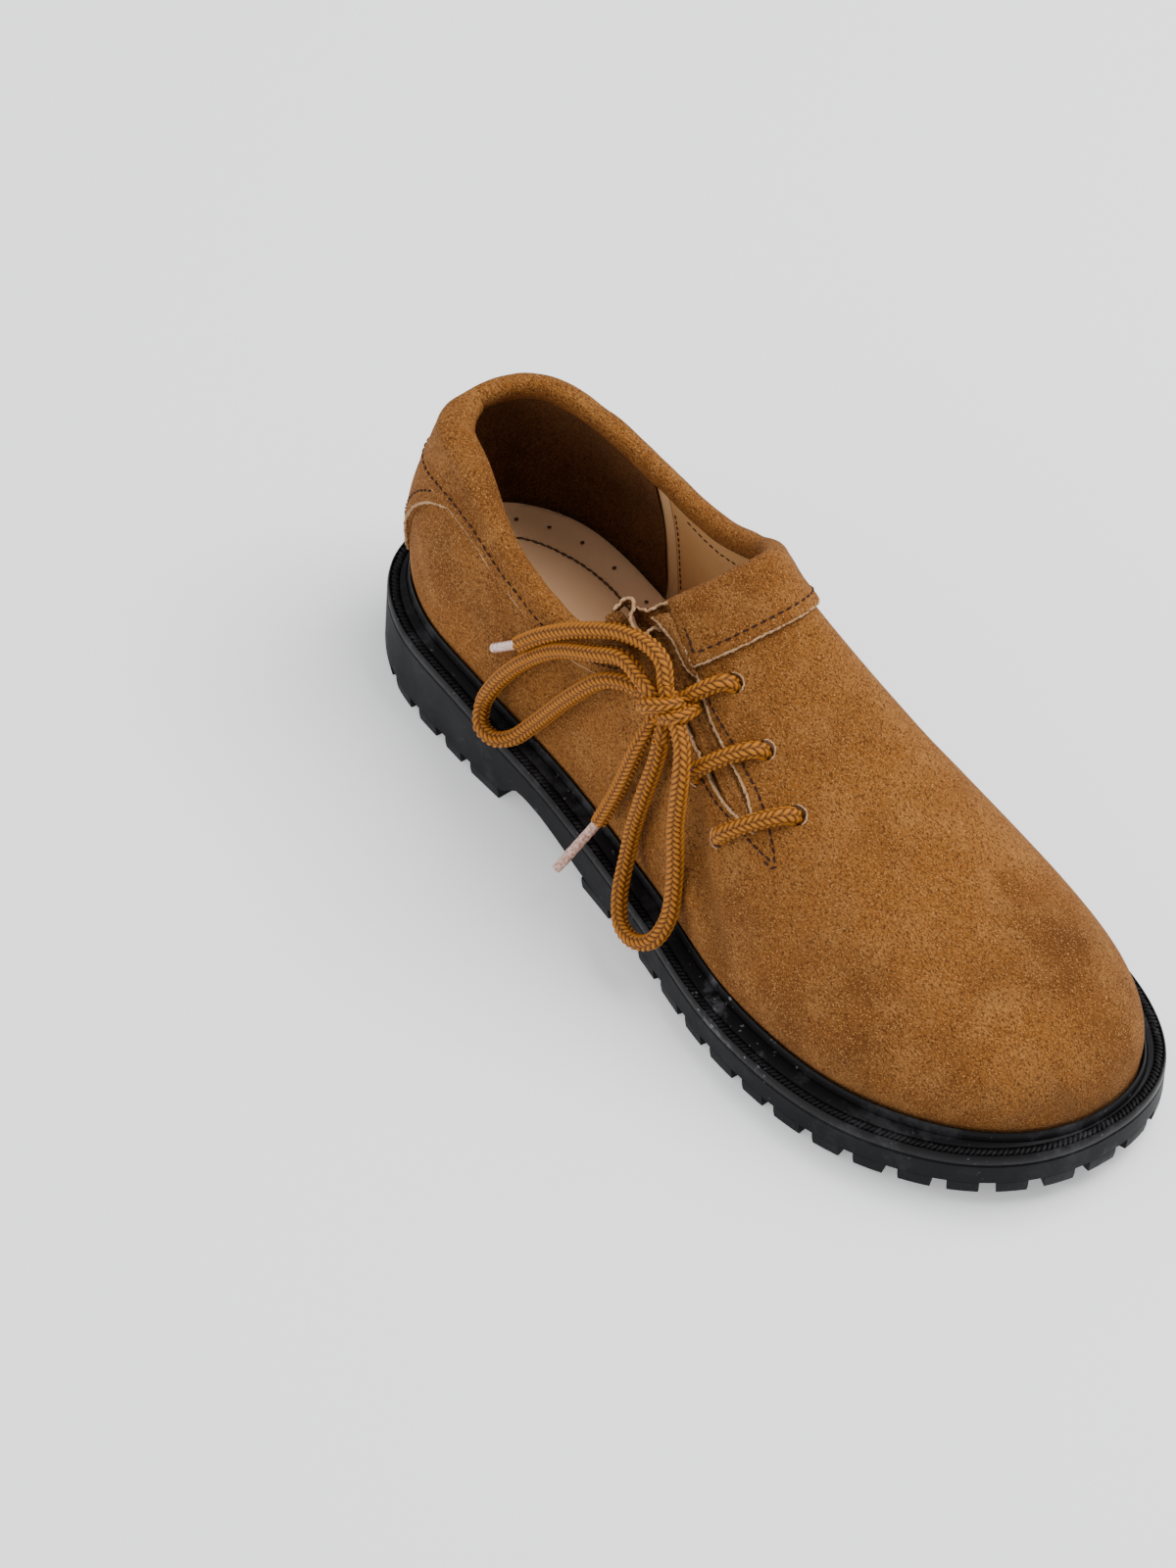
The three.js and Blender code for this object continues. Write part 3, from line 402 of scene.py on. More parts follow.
class Draft:
    """Collects grids of points and turns them into one mesh."""

    def __init__(self) -> None:
        """Starts an empty draft."""
        self.points: list[Array] = []
        self.faces: list[tuple[int, ...]] = []
        self.slots: list[int] = []
        self.count = 0

    def add(self, points: Array) -> Array:
        """Adds points and returns their numbers, in the same shape.

        Args:
            points: The points.

        Returns:
            The numbers.
        """
        points = np.asarray(points, float)
        self.points.append(points.reshape(-1, 3))
        numbers = np.arange(self.count, self.count + points.size // 3)
        self.count += len(numbers)
        return numbers.reshape(points.shape[:-1])

    def skin(self, numbers: Array, closed: bool = False, slot: int = 0) -> None:
        """Covers a grid of numbered points with four-cornered faces.

        Args:
            numbers: Rows of point numbers.
            closed: Whether each row closes on itself.
            slot: The material of the faces.
        """
        across = np.concatenate([numbers, numbers[:, :1]], axis=1) if closed else numbers
        quads = np.stack([across[:-1, :-1], across[:-1, 1:], across[1:, 1:], across[1:, :-1]], -1)
        found = [tuple(int(i) for i in quad) for quad in quads.reshape(-1, 4)]
        self.faces += found
        self.slots += [slot] * len(found)

    def cap(self, loop: Array, slot: int = 0) -> None:
        """Closes a loop of numbered points with one face."""
        self.faces.append(tuple(int(i) for i in loop))
        self.slots.append(slot)

    def tube(self, numbers: Array, slot: int = 0) -> None:
        """Covers a grid whose rows close on themselves and caps its two ends.

        Args:
            numbers: The numbered points.
            slot: Its slot.
        """
        self.skin(numbers, closed=True, slot=slot)
        self.cap(numbers[0], slot)
        self.cap(numbers[-1][::-1], slot)

    def sheet(self, outer: Array, inner: Array) -> None:
        """Adds a sheet between two grids of points.

        Args:
            outer: The outer grid.
            inner: The inner grid.
        """
        a, b = self.add(outer), self.add(inner)
        self.skin(a)
        self.skin(b[:, ::-1])
        for one, two in ((a[0], b[0]), (a[-1], b[-1]), (a[:, 0], b[:, 0]), (a[:, -1], b[:, -1])):
            self.skin(np.array([one, two]))

    def strips(self, row: Array) -> None:
        """Closes a ring round the shoe by strips across it.

        Args:
            row: The bar's number from the top.
        """
        count = len(row)
        for i in range(count // 2):
            self.cap(np.array([row[i], row[i + 1], row[count - i - 1], row[(count - i) % count]]))

    def build(self, name: str, finishes: Sequence[Material], sharp: float = 40.0) -> Piece:
        """Makes the mesh object, merged, facing out and smooth.

        Args:
            name: The piece's name.
            finishes: Its materials.
            sharp: Edges over this many degrees stay sharp.

        Returns:
            The object.
        """
        places = (np.concatenate(self.points) - FRAME_ORIGIN) * MM
        mesh = bpy.data.meshes.new(name)
        mesh.from_pydata(places.tolist(), [], self.faces)
        mesh.polygons.foreach_set("material_index", self.slots)
        work = bmesh.new()
        work.from_mesh(mesh)
        bmesh.ops.remove_doubles(work, verts=work.verts, dist=2e-6)
        bmesh.ops.dissolve_degenerate(work, edges=work.edges, dist=1e-6)
        bmesh.ops.recalc_face_normals(work, faces=work.faces)
        work.to_mesh(mesh)
        work.free()
        for finish in finishes:
            mesh.materials.append(finish)
        piece = link(name, mesh)
        shade(piece, sharp)
        return piece


def link(name: str, data: bpy.types.ID) -> Piece:
    """Puts a mesh, a light or a camera into the scene as an object at the origin.

    Args:
        name: Its name.
        data: Its mesh, light or camera.

    Returns:
        The piece.
    """
    made = bpy.data.objects.new(name, data)
    bpy.context.collection.objects.link(made)
    return made


def shade(piece: Piece, sharp: float) -> None:
    """Shades a piece smooth, with its edges over the given degrees kept sharp."""
    piece.data.polygons.foreach_set("use_smooth", [True] * len(piece.data.polygons))
    piece.data.set_sharp_from_angle(angle=math.radians(sharp))


def bake(piece: Piece) -> None:
    """Applies a piece's modifiers to its mesh.

    Args:
        piece: The piece.
    """
    bpy.context.view_layer.update()
    graph = bpy.context.evaluated_depsgraph_get()
    done = bpy.data.meshes.new_from_object(piece.evaluated_get(graph))
    piece.modifiers.clear()
    old = piece.data
    piece.data = done
    done.name = piece.name
    bpy.data.meshes.remove(old)


def carve(piece: Piece, cutter: Piece, operation: str = "DIFFERENCE") -> None:
    """Cuts a closed piece with another, which is then removed.

    Args:
        piece: The piece.
        cutter: The cutter.
        operation: The boolean operation.
    """
    cut = piece.modifiers.new("cut", "BOOLEAN")
    cut.operation = operation
    cut.solver = "EXACT"
    cut.use_self = True
    cut.object = cutter
    bake(piece)
    bpy.data.objects.remove(cutter)


def absorb(piece: Piece, other: Piece) -> None:
    """Adds another piece's mesh to a piece, with the same material, and removes the other.

    Args:
        piece: The piece.
        other: The piece whose mesh is taken.
    """
    work = bmesh.new()
    work.from_mesh(piece.data)
    work.from_mesh(other.data)
    work.to_mesh(piece.data)
    work.free()
    bpy.data.objects.remove(other)


def settle(piece: Piece, slot: Slot, *nodes: str) -> Piece:
    """Rides a piece on the shoe and hides the solids that it stands for.

    Args:
        piece: The piece.
        slot: Its slot; not used.
        nodes: The solids that it stands for.

    Returns:
        The piece.
    """
    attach(piece, BODY)
    if nodes:
        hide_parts(*nodes)
    log.info("%s: %d faces", piece.name, len(piece.data.polygons))
    return piece


def paint(piece: Piece, name: str, values: Array) -> None:
    """Stores one value for each point of a piece, for its material."""
    layer = piece.data.attributes.new(name, "FLOAT", "POINT")
    layer.data.foreach_set("value", np.asarray(values, np.float32).ravel())


def places_of(piece: Piece) -> Array:
    """Gives a piece's points in millimetres from the heel.

    Args:
        piece: The piece.

    Returns:
        The points.
    """
    flat = np.empty(len(piece.data.vertices) * 3)
    piece.data.vertices.foreach_get("co", flat)
    return flat.reshape(-1, 3) / MM + FRAME_ORIGIN


def curve_through(points: Sequence[Sequence[float]], step: float) -> Array:
    """Draws a smooth line through points.

    Args:
        points: Points in millimetres.
        step: The distance between the line's own points.

    Returns:
        The line's points.
    """
    spots = np.asarray(points, float)
    spots = np.vstack([2 * spots[0] - spots[1], spots, 2 * spots[-1] - spots[-2]])
    pieces = []
    for a, b, c, d in zip(spots, spots[1:], spots[2:], spots[3:]):
        k = [np.linalg.norm(y - x) ** 0.5 for x, y in ((a, b), (b, c), (c, d))]
        m1 = ((b - a) / k[0] - (c - a) / (k[0] + k[1]) + (c - b) / k[1]) * k[1]
        m2 = ((c - b) / k[1] - (d - b) / (k[1] + k[2]) + (d - c) / k[2]) * k[1]
        t = np.linspace(0, 1, 41)[:-1, None]
        pieces.append(
            (2 * t**3 - 3 * t**2 + 1) * b + (t**3 - 2 * t**2 + t) * m1 + (3 * t**2 - 2 * t**3) * c
            + (t**3 - t**2) * m2
        )
    fine = np.vstack([*pieces, spots[-2]])
    return resample(fine, step)


def reach_of(line: Array) -> Array:
    """Gives how far along a line each of its points lies."""
    return np.concatenate([[0], np.cumsum(np.linalg.norm(np.diff(line, axis=0), axis=1))])


def resample(line: Array, step: float) -> Array:
    """Sets points evenly along a line, about a step apart.

    Args:
        line: Points along the middle line.
        step: The distance between points.

    Returns:
        The new points.
    """
    reach = reach_of(line)
    count = max(2, round(reach[-1] / step))
    goal = np.linspace(0, reach[-1], count + 1)
    return np.stack([np.interp(goal, reach, line[:, i]) for i in range(3)], -1)


def frames_along(line: Array) -> tuple[Array, Array, Array]:
    """Carries a pair of side directions along a line without twist.

    Args:
        line: Points along the middle line.

    Returns:
        The directions.
    """
    run = unit(np.gradient(line, axis=0))
    side = np.empty_like(run)
    start = np.cross(run[0], (0.0, 0.0, 1.0))
    if np.linalg.norm(start) < 1e-3:
        start = np.cross(run[0], (0.0, 1.0, 0.0))
    side[0] = unit(start)
    for i in range(1, len(line)):
        flat = side[i - 1] - run[i] * (side[i - 1] @ run[i])
        side[i] = unit(flat)
    return run, side, np.cross(run, side)


def add_tube(draft: Draft, line: Array, radius: Array, sides: int) -> None:
    """Adds a closed tube along a line.

    Args:
        draft: Where it goes.
        line: The line it follows.
        radius: One radius, or a grid of them for the line's points and the tube's sides.
        sides: How many sides.
    """
    _, side, up = frames_along(line)
    turn = np.linspace(0, 2 * math.pi, sides, endpoint=False)
    ring = np.cos(turn)[None, :, None] * side[:, None] + np.sin(turn)[None, :, None] * up[:, None]
    grown = np.broadcast_to(np.asarray(radius, float), (len(line), sides))
    draft.tube(draft.add(line[:, None] + ring * grown[..., None]))


# Node trees


class Wiring:
    """Adds nodes to a tree and links them."""

    def __init__(self, tree: bpy.types.NodeTree) -> None:
        """Starts on a tree."""
        self.tree = tree

    def node(self, kind: str, inputs: dict | None = None, **settings: object) -> bpy.types.Node:
        """Adds a node.

        Args:
            kind: The node's type.
            inputs: Values or sockets for its inputs, by name or number.
            settings: Its properties.

        Returns:
            The node.
        """
        made = self.tree.nodes.new(kind)
        for name, value in settings.items():
            setattr(made, name, value)
        self.feed(made, inputs or {})
        return made

    def feed(self, node: bpy.types.Node, inputs: dict) -> None:
        """Gives a node's inputs their values or links.

        Args:
            node: The node.
            inputs: Values or sockets, by name or number.
        """
        for name, value in inputs.items():
            if isinstance(value, Socket):
                self.tree.links.new(value, node.inputs[name])
            else:
                node.inputs[name].default_value = value

    def place(self) -> Socket:
        """Gives the piece's own coordinates."""
        return self.node("ShaderNodeTexCoord").outputs["Object"]

    def stored(self, name: str) -> Socket:
        """Gives a value that is stored on the piece's points."""
        return self.node("ShaderNodeAttribute", None, attribute_name=name).outputs["Fac"]

    def maths(self, operation: str, *values: object, clamp: bool = False) -> Socket:
        """Adds a sum and returns its output."""
        made = self.node("ShaderNodeMath", dict(enumerate(values)), operation=operation, use_clamp=clamp)
        return made.outputs[0]

    def mix(self, share: object, low: object, high: object, blend: str = "MIX") -> Socket:
        """Mixes two colours and returns the result."""
        made = self.node("ShaderNodeMix", {0: share, 6: low, 7: high}, data_type="RGBA", blend_type=blend)
        return made.outputs[2]

    def spread(self, value: object, low: float, high: float, to_low: float = 0.0,
               to_high: float = 1.0) -> Socket:
        """Stretches a value from one range to another, clamped."""
        ranges = {"Value": value, "From Min": low, "From Max": high, "To Min": to_low, "To Max": to_high}
        return self.node("ShaderNodeMapRange", ranges).outputs[0]

    def noise(self, scale: object, detail: float, where: Socket, roughness: float = 0.5) -> Socket:
        """Adds noise on the given coordinates and returns its value."""
        inputs = {"Vector": where, "Scale": scale, "Detail": detail, "Roughness": roughness}
        return self.node("ShaderNodeTexNoise", inputs).outputs[0]


def rgba(colour: Rgb) -> tuple[float, float, float, float]:
    """Adds full alpha to a colour."""
    return (*colour, 1.0)


def shader_group(name: str, inputs: dict[str, object],
                 outputs: dict[str, str]) -> tuple[bpy.types.NodeTree, Wiring, dict]:
    """Starts a shader node group.

    Args:
        name: The group's name.
        inputs: Its inputs with their first values.
        outputs: Its outputs with their socket types.

    Returns:
        The group, its wiring and its input sockets by name.
    """
    tree = bpy.data.node_groups.new(name, "ShaderNodeTree")
    for label, value in inputs.items():
        kind = "NodeSocketColor" if isinstance(value, tuple) else "NodeSocketFloat"
        socket = tree.interface.new_socket(label, in_out="INPUT", socket_type=kind)
        socket.default_value = value
    for label, kind in outputs.items():
        tree.interface.new_socket(label, in_out="OUTPUT", socket_type=kind)
    wiring = Wiring(tree)
    entry = wiring.node("NodeGroupInput")
    return tree, wiring, {socket.name: socket for socket in entry.outputs if socket.name}


class Effects:
    """The shader node groups that the finishes share."""

    def __init__(self) -> None:
        """Builds the groups."""
        self.nap = self._nap()
        self.grain = self._grain()
        self.dust = self._dust()

    @staticmethod
    def _close(wiring: Wiring, results: dict[str, Socket]) -> None:
        """Links the results to the group's outputs.

        Args:
            wiring: The group's wiring.
            results: The sockets by label.
        """
        end = wiring.node("NodeGroupOutput")
        for label, socket in results.items():
            wiring.tree.links.new(socket, end.inputs[label])

    def _nap(self) -> bpy.types.NodeTree:
        """Brushed fibres with darker and lighter clouds.

        Returns:
            The group.
        """
        tree, w, given = shader_group(
            "brushed_nap",
            {"Base": rgba((0.4, 0.2, 0.06)), "Dark": rgba((0.2, 0.08, 0.02)),
             "Light": rgba((0.6, 0.35, 0.15)),
             "Fibre Scale": 800.0, "Clouds": 0.5, "Specks": 0.5},
            {"Color": "NodeSocketColor", "Roughness": "NodeSocketFloat", "Height": "NodeSocketFloat"},
        )
        where = w.place()
        bent = w.node("ShaderNodeMapping",
                      {"Vector": where, "Scale": (0.66, 1.0, 1.0), "Rotation": (0.3, 0.5, 0.6)})
        fibres = w.noise(given["Fibre Scale"], 3.0, bent.outputs[0], 0.6)
        specks = w.noise(w.maths("MULTIPLY", given["Fibre Scale"], 1.45), 2.0, where, 0.6)
        clouds = w.noise(21.0, 3.0, where, 0.55)
        mottle = w.noise(75.0, 4.0, where, 0.6)
        cloud_share = w.maths("MULTIPLY", w.spread(clouds, 0.44, 0.68, 0.0, 0.85), given["Clouds"])
        mottle_share = w.maths("MULTIPLY", w.spread(mottle, 0.46, 0.72, 0.0, 0.34), given["Clouds"])
        tone = w.mix(cloud_share, given["Base"], given["Dark"])
        tone = w.mix(mottle_share, tone, given["Light"])
        dark_share = w.maths("MULTIPLY", w.spread(fibres, 0.54, 0.36, 0.0, 0.9), given["Specks"])
        light_share = w.maths("MULTIPLY", w.spread(specks, 0.55, 0.72), given["Specks"])
        tone = w.mix(dark_share, tone, given["Dark"])
        tone = w.mix(light_share, tone, given["Light"])
        height = w.maths("ADD", w.maths("MULTIPLY", fibres, 0.8), w.maths("MULTIPLY", specks, 0.45))
        self._close(w, {"Color": tone, "Roughness": w.spread(fibres, 0.3, 0.7, 0.97, 0.86), "Height": height})
        return tree

    def _grain(self) -> bpy.types.NodeTree:
        """Smooth leather or moulded rubber with fine pores.

        Returns:
            The group.
        """
        tree, w, given = shader_group(
            "fine_grain",
            {"Base": rgba((0.5, 0.3, 0.15)), "Dark": rgba((0.3, 0.15, 0.06)), "Pore Scale": 1400.0,
             "Stain": 0.4, "Rough Low": 0.4, "Rough High": 0.6},
            {"Color": "NodeSocketColor", "Roughness": "NodeSocketFloat", "Height": "NodeSocketFloat"},
        )
        where = w.place()
        pores = w.noise(given["Pore Scale"], 2.0, where, 0.5)
        stain = w.noise(34.0, 4.0, where, 0.6)
        tone = w.mix(w.maths("MULTIPLY", w.spread(stain, 0.4, 0.7), given["Stain"]), given["Base"],
                     given["Dark"])
        ranges = {"Value": stain, "From Min": 0.3, "From Max": 0.7, "To Min": given["Rough Low"],
                  "To Max": given["Rough High"]}
        rough = w.node("ShaderNodeMapRange", ranges).outputs[0]
        self._close(w, {"Color": tone, "Roughness": rough, "Height": pores})
        return tree

    def _dust(self) -> bpy.types.NodeTree:
        """Pale specks and rubbed streaks over a colour.

        Returns:
            The group.
        """
        tree, w, given = shader_group(
            "dust",
            {"Color": rgba((0.1, 0.1, 0.1)), "Dust": rgba((0.5, 0.5, 0.52)), "Amount": 0.3},
            {"Color": "NodeSocketColor", "Mask": "NodeSocketFloat"},
        )
        where = w.place()
        specks = w.spread(w.noise(700.0, 1.0, where), 0.7, 0.8)
        rubbed = w.spread(w.noise(60.0, 5.0, where, 0.7), 0.54, 0.8, 0.0, 0.55)
        mask = w.maths("MULTIPLY", w.maths("MAXIMUM", specks, rubbed), given["Amount"], clamp=True)
        self._close(w, {"Color": w.mix(mask, given["Color"], given["Dust"]), "Mask": mask})
        return tree


def new_material(name: str) -> tuple[Material, Wiring, bpy.types.Node]:
    """Starts a material and returns it with its wiring and its Principled shader.

    Args:
        name: Its name.

    Returns:
        The material, its wiring and its shader.
    """
    material = bpy.data.materials.new(name)
    material.use_nodes = True
    wiring = Wiring(material.node_tree)
    return material, wiring, material.node_tree.nodes["Principled BSDF"]


def relief(wiring: Wiring, shader: bpy.types.Node, height: Socket, strength: float, distance: float) -> None:
    """Bumps a shader by a height.

    Args:
        wiring: The material's wiring.
        shader: Its Principled shader.
        height: The height.
        strength: The bump's strength.
        distance: The bump's depth in metres.
    """
    bump = wiring.node("ShaderNodeBump", {"Height": height, "Strength": strength, "Distance": distance})
    wiring.feed(shader, {"Normal": bump.outputs[0]})


@dataclass(frozen=True)
class Suede:
    """Brushed split leather."""

    name: str
    base: Rgb
    dark: Rgb
    light: Rgb
    fibre_scale: float = 1600.0
    clouds: float = 0.95
    specks: float = 1.1
    sheen: float = 0.05
    depth: float = 0.0013

    def make(self, effects: Effects) -> Material:
        """Builds the material.

        Args:
            effects: The shared node groups.

        Returns:
            The material.
        """
        material, w, shader = new_material(self.name)
        group = w.node(
            "ShaderNodeGroup",
            {"Base": rgba(self.base), "Dark": rgba(self.dark), "Light": rgba(self.light),
             "Fibre Scale": self.fibre_scale, "Clouds": self.clouds, "Specks": self.specks},
            node_tree=effects.nap,
        )
        # Mixes in a deep brown by the stored mask: real scuffs, darker towards the welt, soft darker patches
        # and painted shadow down the trough beside the slit.
        patches = w.spread(w.noise(150.0, 3.0, w.place(), 0.6), 0.3, 0.62, 0.35, 1.0)
        broken = w.maths("MULTIPLY", w.stored("scuff"), patches, clamp=True)
        scuffed_and_shaded = w.mix(w.maths("MULTIPLY", broken, 0.8), group.outputs["Color"], rgba((0.075, 0.034, 0.012)))
        w.feed(shader, {
            "Base Color": scuffed_and_shaded, "Roughness": group.outputs["Roughness"], "Sheen Weight": self.sheen,
            "Sheen Roughness": 0.45, "Sheen Tint": rgba(self.light), "Specular IOR Level": 0.15,
        })
        relief(w, shader, group.outputs["Height"], 0.8, self.depth)
        return material


@dataclass(frozen=True)
class Hide:
    """Smooth leather."""

    name: str
    base: Rgb
    dark: Rgb
    rough: tuple[float, float] = (0.42, 0.62)
    stain: float = 0.35
    coat: float = 0.0
    pore_scale: float = 1500.0

    def make(self, effects: Effects) -> Material:
        """Builds the material.

        Args:
            effects: The shared node groups.

        Returns:
            The material.
        """
        material, w, shader = new_material(self.name)
        group = w.node(
            "ShaderNodeGroup",
            {"Base": rgba(self.base), "Dark": rgba(self.dark), "Pore Scale": self.pore_scale,
             "Stain": self.stain, "Rough Low": self.rough[0], "Rough High": self.rough[1]},
            node_tree=effects.grain,
        )
        w.feed(shader, {
            "Base Color": group.outputs["Color"], "Roughness": group.outputs["Roughness"],
            "Coat Weight": self.coat, "Coat Roughness": 0.3,
        })
        relief(w, shader, group.outputs["Height"], 0.35, 0.0002)
        return material


@dataclass(frozen=True)
class Rubber:
    """Black moulded rubber with a little dust, and on the welt a pale band that is partly dust and partly a
    painted highlight.
    """

    name: str
    base: Rgb
    rough: tuple[float, float] = (0.42, 0.62)
    dust: float = 0.24

    def make(self, effects: Effects) -> Material:
        """Builds the material.

        Args:
            effects: The shared node groups.

        Returns:
            The material.
        """
        material, w, shader = new_material(self.name)
        darker = tuple(0.6 * part for part in self.base)
        grain = w.node(
            "ShaderNodeGroup",
            {"Base": rgba(self.base), "Dark": rgba(darker), "Pore Scale": 2200.0, "Stain": 0.5,
             "Rough Low": self.rough[0], "Rough High": self.rough[1]},
            node_tree=effects.grain,
        )
        # The stored pale band on the outer welt rim is partly dust and partly a painted highlight.
        amount = w.maths("ADD", w.maths("MULTIPLY", w.stored("rub"), 1.9), self.dust)
        dust = w.node(
            "ShaderNodeGroup",
            {"Color": grain.outputs["Color"], "Dust": rgba((0.16, 0.16, 0.17)), "Amount": amount},
            node_tree=effects.dust,
        )
        duller = w.maths("MULTIPLY", dust.outputs["Mask"], 0.4)
        rough = w.maths("ADD", grain.outputs["Roughness"], duller, clamp=True)
        w.feed(shader, {"Base Color": dust.outputs["Color"], "Roughness": rough, "Specular IOR Level": 0.12})
        relief(w, shader, grain.outputs["Height"], 0.25, 0.0002)
        return material


@dataclass(frozen=True)
class Braid:
    """Round braided cord, whose strands come from the mesh, with painted shade in the crevices between them.
    """

    name: str
    crest: Rgb
    crevice_shade: Rgb

    def make(self, effects: Effects) -> Material:
        """Builds the material.

        Args:
            effects: The shared node groups; not used.

        Returns:
            The material.
        """
        material, w, shader = new_material(self.name)
        fine = w.noise(2600.0, 2.0, w.place(), 0.6)
        darker = tuple(0.45 * part for part in self.crest)
        # Mixes from the painted shade in the crevices between strands up to the crest's own colour.
        tone = w.mix(w.spread(w.stored("strand"), 0.22, 0.86), rgba(self.crevice_shade), rgba(self.crest))
        tone = w.mix(w.spread(fine, 0.4, 0.8, 0.0, 0.45), tone, rgba(darker))
        rough = w.spread(fine, 0.2, 0.8, 0.5, 0.75)
        w.feed(shader, {"Base Color": tone, "Roughness": rough, "Specular IOR Level": 0.2})
        relief(w, shader, fine, 0.5, 0.00025)
        return material


@dataclass(frozen=True)
class Thread:
    """Sewing thread and other small plain fibres, and the dark dots of painted shade for pinholes."""

    name: str
    base: Rgb
    other: Rgb
    scale: float = 1500.0
    rough: float = 0.8

    def make(self, effects: Effects) -> Material:
        """Builds the material.

        Args:
            effects: The shared node groups; not used.

        Returns:
            The material.
        """
        material, w, shader = new_material(self.name)
        fibre = w.noise(self.scale, 2.0, w.place(), 0.6)
        tone = w.mix(w.spread(fibre, 0.35, 0.65), rgba(self.base), rgba(self.other))
        rough = w.spread(fibre, 0.2, 0.8, self.rough, self.rough - 0.15)
        w.feed(shader, {"Base Color": tone, "Roughness": rough, "Specular IOR Level": 0.08})
        relief(w, shader, fibre, 0.6, 0.0003)
        return material


@dataclass(frozen=True)
class Film:
    """Clear film shrunk over the end of a lace."""

    name: str
    base: Rgb
    streak: Rgb

    def make(self, effects: Effects) -> Material:
        """Builds the material.

        Args:
            effects: The shared node groups; not used.

        Returns:
            The material.
        """
        material, w, shader = new_material(self.name)
        streaks = w.noise(1100.0, 3.0, w.place(), 0.6)
        tone = w.mix(w.spread(streaks, 0.42, 0.62), rgba(self.base), rgba(self.streak))
        rough = w.spread(streaks, 0.3, 0.7, 0.16, 0.32)
        w.feed(shader, {"Base Color": tone, "Roughness": rough, "Coat Weight": 0.7, "Coat Roughness": 0.12})
        relief(w, shader, streaks, 0.35, 0.0003)
        return material


